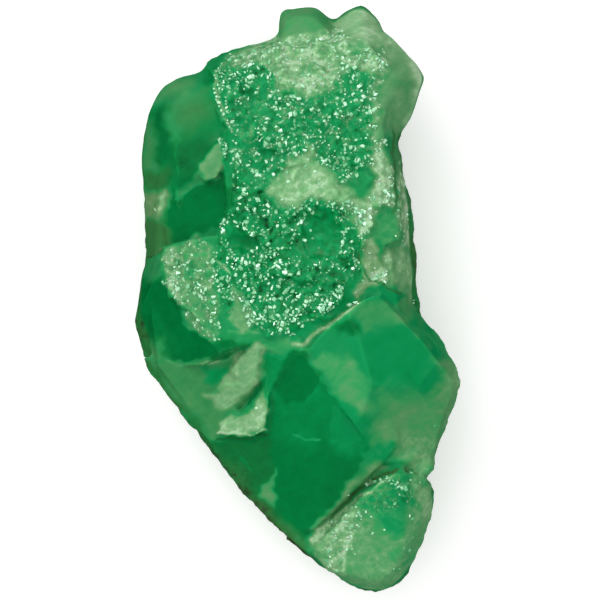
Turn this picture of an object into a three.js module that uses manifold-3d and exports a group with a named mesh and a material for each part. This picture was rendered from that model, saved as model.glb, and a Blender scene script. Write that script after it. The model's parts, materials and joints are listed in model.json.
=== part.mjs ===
// A rough emerald: a lump of beryl crystals that grew together and broke away as one stone.
//
// Units are millimetres. The stone lies on its flattest side: Z = 0 is the face it rests on, X runs
// across it, and Y along it. It is one solid, made by joining convex crystal blocks, cutting the
// grooves and pits, and growing small angular grains on the sugary, broken areas.

import * as THREE from 'three';
import { ConvexGeometry } from 'three/addons/geometries/ConvexGeometry.js';
import * as BufferGeometryUtils from 'three/addons/utils/BufferGeometryUtils.js';
import Module from 'manifold-3d';

const wasm = await Module();
wasm.setup();

// ---- Driving dimensions --------------------------------------------------------------------------

const GIRTH = 9; // height of the stone's widest line above the face it rests on
const STEEP = 73; // dip of a wall above its block's widest line, in degrees from level
const UNDERCUT = 112; // dip of a wall below that line, past 90 because it leans inward
const DEPTH = 1; // how far the blocks reach below the resting face before it is cut
const WELD = 0.03; // corners nearer than this are one corner
const GRAIN_JITTER = 0.16; // how far a grain's corners are moved, as a share of its size
const GRAIN_SCATTER = 0.4; // how far grains stray from their rows, as a share of the distance
const GRAIN_SUNK = [0.34, 0.5]; // how deep grains sit, as a share of their size
const WALL_RISES = [0, 1.9, 3.8, 5.7]; // heights of the rows of grains on the right wall, above GIRTH
const WALL_COLUMNS = 9; // grains along each of those rows, less one
const WALL_GRAIN = [0.9, 1.3]; // size of the grains on the right wall

// ---- Crystal blocks ------------------------------------------------------------------------------

// A plane through an edge of a block's rim, facing outward and dipping by an angle from level.
function wallPlane(start, end, dip) {
  const along = end.clone().sub(start).normalize();
  const outward = new THREE.Vector3(along.y, -along.x, 0).normalize();
  const angle = THREE.MathUtils.degToRad(dip);
  const normal = outward.multiplyScalar(Math.sin(angle));
  normal.z = Math.cos(angle);
  normal.addScaledVector(along, -normal.dot(along)).normalize();
  return new THREE.Plane().setFromNormalAndCoplanarPoint(normal, start);
}

// A plane through three points of a face, facing up.
function facePlane(points) {
  const corners = points.map((point) => new THREE.Vector3(...point));
  const plane = new THREE.Plane().setFromCoplanarPoints(...corners);
  return plane.normal.z < 0 ? plane.negate() : plane;
}

// The point where three planes meet, or null where two of them run alongside.
function meet(a, b, c) {
  const bc = b.normal.clone().cross(c.normal);
  const volume = a.normal.dot(bc);
  if (Math.abs(volume) < 1e-5) return null;
  const ca = c.normal.clone().cross(a.normal);
  const ab = a.normal.clone().cross(b.normal);
  const sum = bc.multiplyScalar(a.constant);
  sum.addScaledVector(ca, b.constant);
  sum.addScaledVector(ab, c.constant);
  return sum.multiplyScalar(-1 / volume);
}

// The corners of the convex block inside a set of planes.
function cornersInside(planes) {
  const corners = [];
  for (let i = 0; i < planes.length; i += 1) {
    for (let j = i + 1; j < planes.length; j += 1) {
      for (let k = j + 1; k < planes.length; k += 1) {
        const corner = meet(planes[i], planes[j], planes[k]);
        const inside = corner && planes.every((plane) => plane.distanceToPoint(corner) < 1e-4);
        const isNew = inside && corners.every((other) => other.distanceTo(corner) > WELD);
        if (isNew) corners.push(corner);
      }
    }
  }
  return corners;
}

// A crystal block. Its rim is its widest line, counter-clockwise seen from above, with a wall rising
// from each edge and another running down under it. Its faces are the flat faces on top.
function block({ rim, faces, steep = STEEP, undercut = UNDERCUT }) {
  const points = rim.map((point) => new THREE.Vector3(...point));
  const planes = faces.map(facePlane);
  points.forEach((start, index) => {
    const end = points[(index + 1) % points.length];
    planes.push(wallPlane(start, end, steep));
    planes.push(wallPlane(start, end, undercut));
  });
  planes.push(new THREE.Plane(new THREE.Vector3(0, 0, -1), -DEPTH));
  return planes;
}

// The mass of the stone under all the crystals. It lies a little below their faces, fills the
// seams between them, and makes the underside.
const heart = block({
  rim: [
    [12.4, -2, GIRTH],
    [10.6, 14, GIRTH],
    [9.4, 21, GIRTH],
    [5, 25.6, GIRTH - 1],
    [-3, 25.4, GIRTH - 1],
    [-9.5, 22.4, GIRTH],
    [-14.2, 19.5, GIRTH],
    [-15.2, 14, GIRTH - 1],
    [-15.3, -2, GIRTH],
    [-14.4, -6.8, GIRTH],
    [-4.8, -19.2, GIRTH],
    [1, -24.9, GIRTH - 1],
    [7, -27.5, GIRTH - 1],
    [11.6, -25, GIRTH - 1],
    [13.6, -14, GIRTH],
  ],
  faces: [
    [[0, 0, 17.4], [0, 10, 17.4], [5, 10, 17.4]],
    [[-12.9, 18.6, 13.9], [-12, 4, 13.4], [-8, 6, 15.8]],
    [[0.5, -5, 17.2], [-7, -16.8, 8.9], [0.5, -24.5, 8.2]],
    [[4, -10, 16.2], [7, -14.8, 13.2], [3.2, -20, 10.6]],
    [[6.2, -4, 18.6], [12, -2, 14.9], [8, -8.4, 17.3]],
    [[8, -8.4, 17.3], [14.5, -13, 10.4], [9, -15.2, 12.5]],
    [[8.4, 20.5, 16.8], [11.1, 22.8, 14.2], [9.9, 17.2, 15.8]],
    [[-7.6, 20.6, 16.8], [5, 21.5, 17.7], [-3, 26, 13.4]],
  ],
});

// The upper left crystal: a steep side face, a broad smooth face, a worn bevel at its end and a
// sliver of a face along its lower edge.
const upperLeft = block({
  rim: [
    [-15.4, 10.7, GIRTH + 0.5],
    [-12.6, 10.5, 14.1],
    [-9.2, 11.5, 15.4],
    [-5, 13, 17],
    [-6.6, 22.6, 16],
    [-9.3, 22.9, GIRTH + 2],
    [-12.1, 22.3, GIRTH + 1],
    [-13.7, 21.3, GIRTH],
    [-14.9, 19, GIRTH],
    [-15.5, 16.2, GIRTH],
    [-15.7, 13.4, GIRTH],
  ],
  faces: [
    [[-12.9, 18.6, 15.2], [-12, 12.4, 15.7], [-15.6, 13.2, 9.6]],
    [[-12.9, 18.6, 15.2], [-12, 12.4, 15.7], [-7, 17, 18.1]],
    [[-13.2, 19.3, 14.9], [-8.4, 21.6, 17], [-12, 22.3, 11.6]],
    [[-12.6, 10.9, 14.4], [-9.8, 12.8, 16.8], [-9.3, 11.7, 15.6]],
    [[-7, 17, 18.1], [-6, 12, 18], [-4, 17, 18]],
  ],
});

// The small pale wedge that stands on its corner.
const paleWedge = block({
  rim: [
    [-9.9, 12.6, 16.6],
    [-9.2, 11.6, 15.6],
    [-7.9, 12, 16.6],
    [-7, 14.3, 18],
    [-7.3, 15.9, 18],
    [-8.7, 15.1, 17.4],
  ],
  faces: [
    [[-9.8, 12.6, 17.1], [-8, 12.1, 17.9], [-7.3, 15.8, 18.8]],
  ],
  steep: 80,
});

// The smooth window below it, set back by a step.
const leftWindow = block({
  rim: [
    [-12.9, 5, 13],
    [-5, 5, 16],
    [-4, 13, 17],
    [-12.9, 13, 14],
    [-13.2, 7.5, 13.2],
  ],
  faces: [
    [[-12.5, 9.8, 13.9], [-7.6, 12, 16.6], [-9.3, 6.5, 15.1]],
  ],
});

// The low broken pocket in the left side.
const leftPocket = block({
  rim: [
    [-15.2, 4.2, GIRTH - 0.5],
    [-11, 4, 11],
    [-11, 12, 12],
    [-15.4, 11.2, GIRTH],
  ],
  faces: [
    [[-12.9, 8, 12.6], [-15.1, 7.6, 9.8], [-13.3, 11, 13.2]],
    [[-12.9, 8, 12.6], [-15.1, 7.6, 9.8], [-14.2, 4.4, 9.2]],
  ],
});

// The left shoulder: a sugary top and a big smooth face that falls away to the side.
const leftShoulder = block({
  rim: [
    [-13.3, 5.25, 14.2],
    [-15.15, 4.3, GIRTH],
    [-16.4, -2.7, GIRTH - 0.6],
    [-16.2, -4.6, GIRTH - 0.6],
    [-15.7, -6, GIRTH - 0.6],
    [-11.5, -6.7, 11.5],
    [-9.2, -6.5, 13.8],
    [-4.1, -4.3, 17.4],
    [2, 0, 18],
    [-2, 6.6, 18],
    [-8.4, 6.4, 16.8],
    [-12, 5.8, 15],
  ],
  faces: [
    [[-13.3, 4.4, 14.8], [-8.8, -4, 16.9], [-8.4, 5.6, 17]],
    [[-13.4, 3, 14.8], [-8.8, -4, 16.7], [-12.5, -6.3, 11]],
    [[-6, 5, 18], [-6, -4, 17.9], [2, 0, 18.2]],
  ],
});

// The slope below the shoulder. Its lower edge is a ledge over the big middle face.
const lowerLeftSlope = block({
  rim: [
    [-15.4, -5.8, GIRTH],
    [-14.7, -7.3, GIRTH],
    [-10.5, -12.8, GIRTH],
    [-8.9, -13.6, 10],
    [-5, -13.8, 12.3],
    [-3, -13, 13.4],
    [-2.7, -9.5, 15],
    [-3.2, -4.2, 17],
    [-10, -4, 14],
  ],
  faces: [
    [[-12.5, -6.6, 11], [-9.2, -6.7, 13.4], [-10.3, -12.6, 9.7]],
    [[-9.2, -6.5, 13.6], [-4.1, -4.4, 17], [-3, -12.8, 13.9]],
  ],
});

// The saddle between the slope's upper end and the middle face.
const saddle = block({
  rim: [
    [-4, -8, 15.4],
    [-2.9, -9.3, 15.2],
    [0.6, -4.9, 18],
    [0.4, -3.6, 17.8],
    [-4, -3.6, 17.4],
  ],
  faces: [
    [[-3, -9, 15.6], [-3.5, -5, 17], [-1, -5, 18]],
    [[-3, -4.2, 17.6], [0, -4.4, 18.2], [-2, -5.2, 17.6]],
  ],
  undercut: 90,
});

// The pale curved lip on that slope, in two parts.
const lipUpper = block({
  rim: [
    [-6.9, -7.2, 14.6],
    [-5.4, -9.3, 13.8],
    [-4, -8.7, 14.8],
    [-3.2, -5.6, 16.4],
    [-3.5, -4.4, 17],
    [-4.7, -4.4, 16.6],
    [-5.6, -5.2, 16],
  ],
  faces: [
    [[-6.6, -7, 15.5], [-4.7, -4.6, 17.4], [-4.4, -8.4, 15.8]],
    [[-4.4, -8.2, 15.9], [-3.7, -5.4, 17.2], [-3.4, -6, 16.6]],
  ],
  steep: 62,
});

const lipLower = block({
  rim: [
    [-9.5, -9.7, 11.6],
    [-7.6, -11.1, 11.8],
    [-6.2, -10.7, 12.6],
    [-4.9, -9.5, 14],
    [-4.4, -8, 15],
    [-7.2, -8, 14],
  ],
  faces: [
    [[-9.2, -9.7, 12.5], [-6.9, -7.4, 15.2], [-6.6, -10.4, 13.4]],
    [[-6.6, -10.4, 13.4], [-4.7, -9, 15.2], [-6, -10.8, 12.7]],
  ],
  steep: 62,
});

// The pale ledge at the lower edge of the slope.
const paleLedge = block({
  rim: [
    [-8.1, -13.3, 10.8],
    [-6.8, -13.6, 11.4],
    [-4.3, -13.7, 12.6],
    [-3.1, -13, 13.4],
    [-2.7, -10.4, 14.6],
    [-2.6, -8.9, 15.4],
    [-3.4, -9.3, 15],
    [-7.6, -12.2, 11.2],
  ],
  faces: [
    [[-7.8, -13, 11.9], [-3.2, -12.8, 14.5], [-3, -9.6, 15.9]],
  ],
  steep: 76,
});

// The big smooth face in the middle, and the brighter one beside it that faces the lower end.
const middleFace = block({
  rim: [
    [-9.9, -13.2, GIRTH],
    [-5.7, -19.2, GIRTH],
    [-3, -21.9, GIRTH],
    [0.6, -25.3, GIRTH - 1],
    [1.6, -24.4, GIRTH + 1],
    [8.2, -17.6, 12.6],
    [11, -14.6, 12],
    [8, -6, 16],
    [0.7, -4.6, 18],
    [-4, -8, 15],
  ],
  faces: [
    [[0.5, -5, 18.6], [-7, -16.8, 9.7], [0.5, -24.5, 9.4]],
    [[4, -10, 17.7], [7, -14.8, 14.7], [3.2, -20, 12.3]],
    [[2.1, -22.5, 10.9], [8.3, -16.4, 13.5], [6.2, -19.2, 11]],
    [[0.7, -4.6, 18.5], [4, -10, 17.7], [6, -6, 17.4]],
  ],
});

// The lower right crystal: a crest along the top, a broad smooth face and a worn lower end.
const lowerRight = block({
  rim: [
    [0.7, -4.5, 18.5],
    [4, -10.2, 17.6],
    [7.4, -15.4, 14],
    [11, -15.7, 12.4],
    [13.7, -15.7, GIRTH + 1],
    [15.9, -10, GIRTH + 1],
    [16.4, -8.1, GIRTH + 1],
    [15.7, -6.3, GIRTH + 1],
    [14.2, -3.6, GIRTH + 1],
    [11.8, -0.9, GIRTH + 2],
    [10.4, 0.4, 15.6],
    [7, 0.6, 19.1],
    [4.8, -1.1, 19.5],
    [2, -3.3, 19],
  ],
  faces: [
    [[6.2, -4, 20.1], [12, -2, 16.3], [8, -8.4, 18.7]],
    [[0.7, -4.4, 18.6], [6.2, -4, 20.1], [4, -10, 17.8]],
    [[8, -8.4, 18.7], [14.5, -13, 11.8], [9, -15.2, 13.9]],
    [[6.2, -4, 20.1], [12, -2, 16.3], [7, 0.5, 19.2]],
    [[13.5, -7, 15], [16, -8, 12], [14.6, -12, 12]],
  ],
});

// The lump at the lower right end, past the crevice.
const endLump = block({
  rim: [
    [1.2, -24.4, 10.4],
    [2.6, -26.8, 10],
    [6.1, -29.1, GIRTH - 2],
    [7.8, -29.5, GIRTH - 2],
    [9.8, -28.95, GIRTH - 2],
    [11.1, -27.8, GIRTH - 2],
    [12.8, -24, GIRTH - 1],
    [13.85, -20.4, GIRTH - 1],
    [13.6, -18.5, GIRTH],
    [12.4, -17.3, 11],
    [9.8, -16.8, 14.6],
    [8.2, -18, 14.6],
    [6, -19.7, 13.7],
    [3.9, -21.4, 12.5],
    [2, -23, 11.3],
  ],
  faces: [
    [[1.3, -24, 11], [4.6, -27, 11.6], [7, -20, 14.4]],
    [[4.6, -27, 11.6], [7, -20, 14.4], [10, -24, 13]],
    [[10, -18, 15], [10.8, -25, 12.6], [13.6, -20.5, 10.4]],
    [[9, -28, 11], [11, -26, 11], [9, -29, 9.4]],
  ],
});

// The low sill that runs on under the lump along the side.
const sill = block({
  rim: [
    [-1.2, -23.8, GIRTH - 1],
    [0.7, -25.5, GIRTH - 1],
    [4.6, -28, GIRTH - 1],
    [8, -26, GIRTH],
    [3, -22, GIRTH],
  ],
  faces: [
    [[0.6, -24.8, 9.4], [4, -27, 9.8], [4, -24, 10.4]],
  ],
});

// The floor of the narrow crevice between the middle face and the end lump.
const creviceFloor = block({
  rim: [
    [1.2, -24, 9.8],
    [3.4, -24.6, 10.2],
    [10.5, -18, 12.8],
    [10.5, -15.6, 12.9],
    [7.6, -15.8, 12.6],
    [1.2, -22.4, 9.8],
  ],
  faces: [
    [[2.1, -22.5, 10.2], [8.3, -16.4, 12.8], [3.1, -23.5, 10.3]],
  ],
});

// The worn ledge between the lower right crystal and the end lump.
const bridge = block({
  rim: [
    [7.4, -17.1, 12.2],
    [12.5, -17.5, GIRTH],
    [13.6, -17.5, GIRTH],
    [13.9, -16.1, GIRTH],
    [13.5, -15, GIRTH + 1],
    [11, -14, 12],
    [8, -15, 13],
  ],
  faces: [
    [[8, -16.4, 13.9], [11, -16, 13.3], [9, -15, 13.2]],
    [[11, -16, 13.3], [13.5, -16, 11], [11, -17.4, 12.9]],
  ],
});

// The sugary middle: a broken, nearly level face in three parts.
const sugarUpper = block({
  rim: [
    [-6.4, 13, 17.8],
    [9.3, 9, 17.6],
    [9, 24, 14],
    [7, 27, 12],
    [-2.8, 26.1, GIRTH + 1],
    [-6.4, 25, GIRTH + 1],
    [-8.8, 24.1, GIRTH + 2],
    [-9.4, 23.1, GIRTH + 3],
  ],
  faces: [
    [[-6.5, 12, 18.6], [5, 12, 19.3], [-6, 20, 18.6]],
    [[-7.6, 20.6, 18.3], [5, 21.5, 19.1], [-3, 26, 14.8]],
    [[6.6, 12, 19.3], [8.6, 12, 18.6], [6.6, 20, 19]],
  ],
});

const sugarMiddle = block({
  rim: [
    [-6.9, 6, 17],
    [8.6, 4, 17],
    [10, 9, 17],
    [9.4, 15, 17.4],
    [-7.6, 17, 17.6],
  ],
  faces: [
    [[-6, 14, 18.4], [-6, 9, 18.2], [0, 12, 19]],
    [[0, 12, 19.2], [6, 8, 19.1], [2, 16, 19.1]],
    [[6.6, 12, 19.2], [9, 10, 18], [7, 8, 18.9]],
    [[-5, 8, 18.4], [6, 7, 18.9], [2, 4, 18]],
  ],
});

const sugarLower = block({
  rim: [
    [-8.9, -4, 16.7],
    [-4, -5, 17],
    [1.6, -5.8, 17.4],
    [8.2, -0.4, 17.9],
    [8.4, 7, 17.6],
    [4, 10, 18],
    [-6.4, 9, 17.6],
    [-7.8, 6.8, 17],
  ],
  faces: [
    [[-8, 0, 17.3], [-5, 8, 18.3], [-3, -2, 18.4]],
    [[-3, -2, 18.4], [3, 2, 18.9], [-4, 8, 18.7]],
    [[3, 2, 18.9], [8, 4, 17.6], [4, 9, 18.8]],
    [[-3, -2, 18.4], [0, -4.2, 18], [-6, -4, 17.7]],
  ],
  undercut: 90,
});

// The upper right crystal: two smooth faces that meet along a crease.
const upperRight = block({
  rim: [
    [6, 15.6, 17],
    [10.5, 16.5, GIRTH + 1],
    [11.4, 17.9, GIRTH + 1],
    [12.95, 22.2, GIRTH + 1],
    [12.2, 23.6, GIRTH + 1],
    [9.1, 26.5, GIRTH + 1],
    [6, 27, 12],
  ],
  faces: [
    [[8.4, 20.5, 18.3], [11.1, 22.8, 15.7], [9.9, 17.2, 17.3]],
    [[8.4, 23, 17.6], [11, 23.7, 15.4], [8.4, 26.4, 13.4]],
    [[6, 18, 18.4], [8.4, 20.5, 18.3], [6, 24, 17.4]],
  ],
  steep: 70,
});

// The steep rough wall down the right side.
const rightWall = block({
  rim: [
    [6, 5, 17],
    [11.5, 5.6, GIRTH],
    [11.35, 9.2, GIRTH],
    [10.9, 11.9, GIRTH],
    [10.4, 14.2, GIRTH],
    [9.7, 17, GIRTH],
    [6, 18, 17],
  ],
  faces: [
    [[8.6, 10, 18], [9.6, 16, 17.2], [6, 14, 18.8]],
  ],
  steep: 82,
});

// Two slanting faces at the right edge of the middle.
const rightFacets = block({
  rim: [
    [5, 0.6, 16.6],
    [10.6, 0.1, 13],
    [11.75, 0.05, GIRTH],
    [12.05, 2.2, GIRTH],
    [11.85, 4.2, GIRTH],
    [11.3, 8.9, 10],
    [8, 10, 17],
    [5, 7, 17.4],
  ],
  faces: [
    [[8, 8.5, 18], [8.2, 4.8, 17.2], [11, 7, 14]],
    [[8.3, 4.6, 17.2], [9.2, 1.6, 16.8], [11.6, 3.6, 13]],
    [[7.8, 4.6, 17.4], [8.8, 1.6, 17], [6, 2, 17.6]],
  ],
});

// The stained strip beside them, with a pale corner.
const stainedStrip = block({
  rim: [
    [6, 1.2, 16.8],
    [7.9, 0.8, 16.8],
    [9.3, 2, 16.6],
    [8.8, 3.4, 16.8],
    [7.6, 6.4, 17.2],
    [5.8, 6.6, 17.4],
  ],
  faces: [
    [[6.2, 3, 18.4], [8.8, 2.2, 17.5], [7.2, 6, 18.3]],
  ],
});

// The dark flat-topped knob and the rounded one at the upper end.
const flatKnob = block({
  rim: [
    [4.5, 24, 11],
    [3.4, 27.8, GIRTH - 1],
    [1.9, 29.2, GIRTH - 1],
    [-1.3, 28.85, GIRTH - 1],
    [-1.9, 28.3, GIRTH - 1],
    [-2, 24, 11],
  ],
  faces: [
    [[-1, 26.3, 13.6], [3, 26.8, 13.8], [0, 28.8, 12.4]],
  ],
  steep: 78,
});

const roundKnob = block({
  rim: [
    [2.5, 24, 11],
    [9.3, 24, 11],
    [8.9, 26.8, GIRTH],
    [8, 28.2, GIRTH - 1],
    [7.2, 29.1, GIRTH - 1],
    [6.3, 29.5, GIRTH - 1],
    [5, 28.95, GIRTH - 1],
    [3.6, 27.7, GIRTH - 1],
  ],
  faces: [
    [[3, 26.5, 14.4], [8, 26.5, 14.4], [6, 28.3, 12.6]],
    [[3, 26.5, 14.4], [8, 26.5, 14.4], [5, 24, 16.8]],
  ],
  steep: 68,
});

// The broken underside: everything outside this block is cut away.
const underside = block({
  rim: [
    [-17, -3, 7],
    [-12.5, -11.5, 5.5],
    [-4, -22, 7],
    [5.5, -30.5, 5],
    [12.5, -28, 6],
    [16.6, -13, 8],
    [16.9, -7, 8.5],
    [14, 16, 5.5],
    [12.4, 27, 6.5],
    [6, 31, 4.5],
    [-3, 29.5, 6.5],
    [-12, 24, 5],
    [-16.4, 17, 7],
  ],
  faces: [
    [[0, 0, 40], [1, 0, 40], [0, 1, 40]],
  ],
  steep: 90,
  undercut: 138,
});

const blocks = [
  heart,
  upperLeft,
  paleWedge,
  leftWindow,
  leftPocket,
  leftShoulder,
  lowerLeftSlope,
  saddle,
  lipUpper,
  lipLower,
  paleLedge,
  middleFace,
  lowerRight,
  endLump,
  sill,
  creviceFloor,
  bridge,
  sugarUpper,
  sugarMiddle,
  sugarLower,
  upperRight,
  rightWall,
  rightFacets,
  stainedStrip,
  flatKnob,
  roundKnob,
];

// ---- Solids --------------------------------------------------------------------------------------

// A closed three.js geometry as a manifold solid.
function solidOf(geometry) {
  const bare = geometry.clone();
  bare.deleteAttribute('normal');
  bare.deleteAttribute('uv');
  const merged = BufferGeometryUtils.mergeVertices(bare, 1e-4);
  const vertProperties = new Float32Array(merged.attributes.position.array);
  const triVerts = new Uint32Array(merged.index.array);
  return new wasm.Manifold(new wasm.Mesh({ numProp: 3, vertProperties, triVerts }));
}

// A manifold solid as a three.js geometry.
function geometryOf(solid) {
  const mesh = solid.getMesh();
  const geometry = new THREE.BufferGeometry();
  geometry.setAttribute('position', new THREE.BufferAttribute(mesh.vertProperties, 3));
  geometry.setIndex(new THREE.BufferAttribute(mesh.triVerts, 1));
  return geometry;
}

// ---- Pits and the groove -------------------------------------------------------------------------

// The height of a plane above a point of the resting face.
function planeHeight(plane, x, y) {
  return -(plane.constant + plane.normal.x * x + plane.normal.y * y) / plane.normal.z;
}

// Bowls broken out of the sugary face: centre, half widths and depth.
const pits = [
  { x: 2.2, y: 7, width: 3.1, length: 3.3, depth: 1.1 },
  { x: -5, y: 5.8, width: 2.3, length: 1.5, depth: 0.9 },
  { x: 4.8, y: 15.8, width: 2.6, length: 3.6, depth: 0.7 },
  { x: -3.6, y: 13.4, width: 2.4, length: 2, depth: 0.7 },
  { x: -3.2, y: 20.4, width: 3, length: 1.8, depth: 0.8 },
  { x: -1, y: 1, width: 3, length: 1.8, depth: 0.7 },
];

// The height of the stone's upper surface over a point of the resting face.
function surfaceAt(x, y) {
  let height = 0;
  for (const planes of blocks) {
    const up = planes.filter((plane) => plane.normal.z > 0.01);
    const down = planes.filter((plane) => plane.normal.z < -0.01);
    const top = Math.min(...up.map((plane) => planeHeight(plane, x, y)));
    const bottom = Math.max(...down.map((plane) => planeHeight(plane, x, y)));
    if (top > bottom) height = Math.max(height, top);
  }
  return height;
}

// How far the pits lower it there.
function pitDepthAt(x, y) {
  const depths = pits.map((pit) => {
    const across = (x - pit.x) / pit.width;
    const along = (y - pit.y) / pit.length;
    return pit.depth * Math.sqrt(Math.max(0, 1 - across * across - along * along));
  });
  return Math.max(...depths);
}

function pitSolid(pit) {
  const bowl = new THREE.IcosahedronGeometry(1, 1);
  bowl.scale(pit.width, pit.length, pit.depth);
  bowl.translate(pit.x, pit.y, surfaceAt(pit.x, pit.y));
  return solidOf(bowl);
}

// The dark curved groove between the pale lip and the pale ledge. It follows the slope.
function grooveSolid() {
  const slope = facePlane([[-2.9, -6.2, 15.4], [-7.2, -11.6, 11.4], [-3.4, -10.4, 13.7]]);
  const crescent = new THREE.Shape();
  crescent.moveTo(-2.9, -6.2);
  crescent.quadraticCurveTo(-3.2, -10.4, -7.3, -11.7);
  crescent.quadraticCurveTo(-4, -9.6, -2.9, -6.2);
  const groove = new THREE.ExtrudeGeometry(crescent, { depth: 6, bevelEnabled: false, curveSegments: 5 });
  const position = groove.attributes.position;
  for (let index = 0; index < position.count; index += 1) {
    const lift = planeHeight(slope, position.getX(index), position.getY(index));
    position.setZ(index, position.getZ(index) + lift);
  }
  return solidOf(groove);
}

// ---- Grains --------------------------------------------------------------------------------------

// Numbers from 0 to 1 that come out the same at every run.
let seed = 20;
function random() {
  seed = (seed * 1664525 + 1013904223) % 4294967296;
  return seed / 4294967296;
}

function between(low, high) {
  return low + (high - low) * random();
}

// An angular grain: a box with its corners moved, turned any way.
function grainSolid(x, y, z, size) {
  const corners = [];
  for (let number = 0; number < 8; number += 1) {
    const corner = new THREE.Vector3(number & 1, (number >> 1) & 1, number >> 2);
    corner.subScalar(0.5);
    corner.x += between(-GRAIN_JITTER, GRAIN_JITTER);
    corner.y += between(-GRAIN_JITTER, GRAIN_JITTER);
    corner.z += between(-GRAIN_JITTER, GRAIN_JITTER);
    corners.push(corner.multiplyScalar(size));
  }
  const grain = new ConvexGeometry(corners);
  grain.rotateX(between(0, Math.PI));
  grain.rotateY(between(0, Math.PI));
  grain.rotateZ(between(0, Math.PI));
  grain.translate(x, y, z);
  return solidOf(grain);
}

function isInside(x, y, outline) {
  let inside = false;
  outline.forEach(([x1, y1], index) => {
    const [x2, y2] = outline[(index + 1) % outline.length];
    const crosses = (y1 > y) !== (y2 > y) && x < x1 + ((y - y1) * (x2 - x1)) / (y2 - y1);
    if (crosses) inside = !inside;
  });
  return inside;
}

// The sugary patches: outline, distance between grains, and how far the grains stand out.
const patches = [
  {
    outline: [
      [-8.2, 22.6], [-3, 25], [7.6, 25.4], [8.2, 19], [8.6, 13], [8.4, 9], [6, 6], [5.6, 1.6],
      [3.6, -1.2], [0.4, -3.4], [-8.2, -3.2], [-7.6, 3], [-7.4, 7], [-6.2, 10.5], [-6.4, 16.6],
    ],
    pitch: 1.7,
    size: 1.6,
  },
  {
    outline: [[-12.6, 4.2], [-12.2, 0.4], [-9, -3], [-8, 3], [-8.6, 5], [-11, 5.2]],
    pitch: 1.7,
    size: 1.5,
  },
  {
    outline: [[4.4, -22], [9.6, -17.8], [12, -18.6], [11, -21.4], [6.4, -23.4]],
    pitch: 1.5,
    size: 1.2,
  },
];

function patchGrains({ outline, pitch, size }) {
  const grains = [];
  const xs = outline.map(([x]) => x);
  const ys = outline.map(([, y]) => y);
  for (let row = Math.min(...ys); row < Math.max(...ys); row += pitch) {
    for (let column = Math.min(...xs); column < Math.max(...xs); column += pitch) {
      const x = column + between(-GRAIN_SCATTER, GRAIN_SCATTER) * pitch;
      const y = row + between(-GRAIN_SCATTER, GRAIN_SCATTER) * pitch;
      if (!isInside(x, y, outline)) continue;
      const z = surfaceAt(x, y) - pitDepthAt(x, y) - between(...GRAIN_SUNK) * size;
      grains.push(grainSolid(x, y, z, size * between(0.8, 1.2)));
    }
  }
  return grains;
}

// The rough right wall has grains from its widest line to its top.
function wallGrains() {
  const foot = new THREE.CatmullRomCurve3([
    new THREE.Vector3(11.3, 5.6, GIRTH),
    new THREE.Vector3(11.15, 9.2, GIRTH),
    new THREE.Vector3(10.6, 12, GIRTH),
    new THREE.Vector3(10.1, 14.2, GIRTH),
    new THREE.Vector3(10, 16.6, GIRTH),
  ]);
  const grains = [];
  for (let column = 0; column <= WALL_COLUMNS; column += 1) {
    for (const rise of WALL_RISES) {
      const stray = between(-GRAIN_SCATTER, GRAIN_SCATTER);
      const share = THREE.MathUtils.clamp((column + stray) / WALL_COLUMNS, 0, 1);
      const spot = foot.getPoint(share);
      const inset = 0.5 + rise * 0.15;
      const z = GIRTH + rise + between(-GRAIN_SCATTER, GRAIN_SCATTER);
      grains.push(grainSolid(spot.x - inset, spot.y, z, between(...WALL_GRAIN)));
    }
  }
  return grains;
}

// ---- The stone -----------------------------------------------------------------------------------

let stone = null;
for (const planes of blocks) {
  const solid = solidOf(new ConvexGeometry(cornersInside(planes)));
  stone = stone ? stone.add(solid) : solid;
}

for (const pit of pits) {
  stone = stone.subtract(pitSolid(pit));
}
stone = stone.subtract(grooveSolid());

for (const grain of [...patches.flatMap(patchGrains), ...wallGrains()]) {
  stone = stone.add(grain);
}

// The stone rests on one flat break in its underside.
const below = new THREE.BoxGeometry(100, 100, 20); // larger than the stone
below.translate(0, 0, -10);
stone = stone.intersect(solidOf(new ConvexGeometry(cornersInside(underside))));
stone = stone.subtract(solidOf(below));

// ---- The part ------------------------------------------------------------------------------------

const beryl = new THREE.MeshStandardMaterial({ color: 0x1c8c4c, roughness: 0.3, metalness: 0 });
const geometry = geometryOf(stone);
geometry.computeBoundingBox();
const middle = geometry.boundingBox.getCenter(new THREE.Vector3());
geometry.translate(-middle.x, -middle.y, 0);

const emerald = new THREE.Mesh(geometry, beryl);
emerald.name = 'emerald';

const group = new THREE.Group();
group.add(emerald);

export default group;
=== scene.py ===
# %% [markdown]
# # A rough emerald, as it came out of the rock
# The stone is a 59 mm lump of green beryl. It grew as several stubby crystals fused together, and was broken
# out of its vein, so it shows three kinds of surface: flat glassy crystal faces, pale milky ledges where the
# stone is full of tiny cracks, and "sugary" patches of fresh, sparkling break. This lesson dresses the packed
# solid with those surfaces. Everything is in metres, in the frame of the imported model.

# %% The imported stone
import json
import math
import random
import bpy
import numpy as np
from mathutils import Euler, Matrix, Vector, noise

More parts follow.
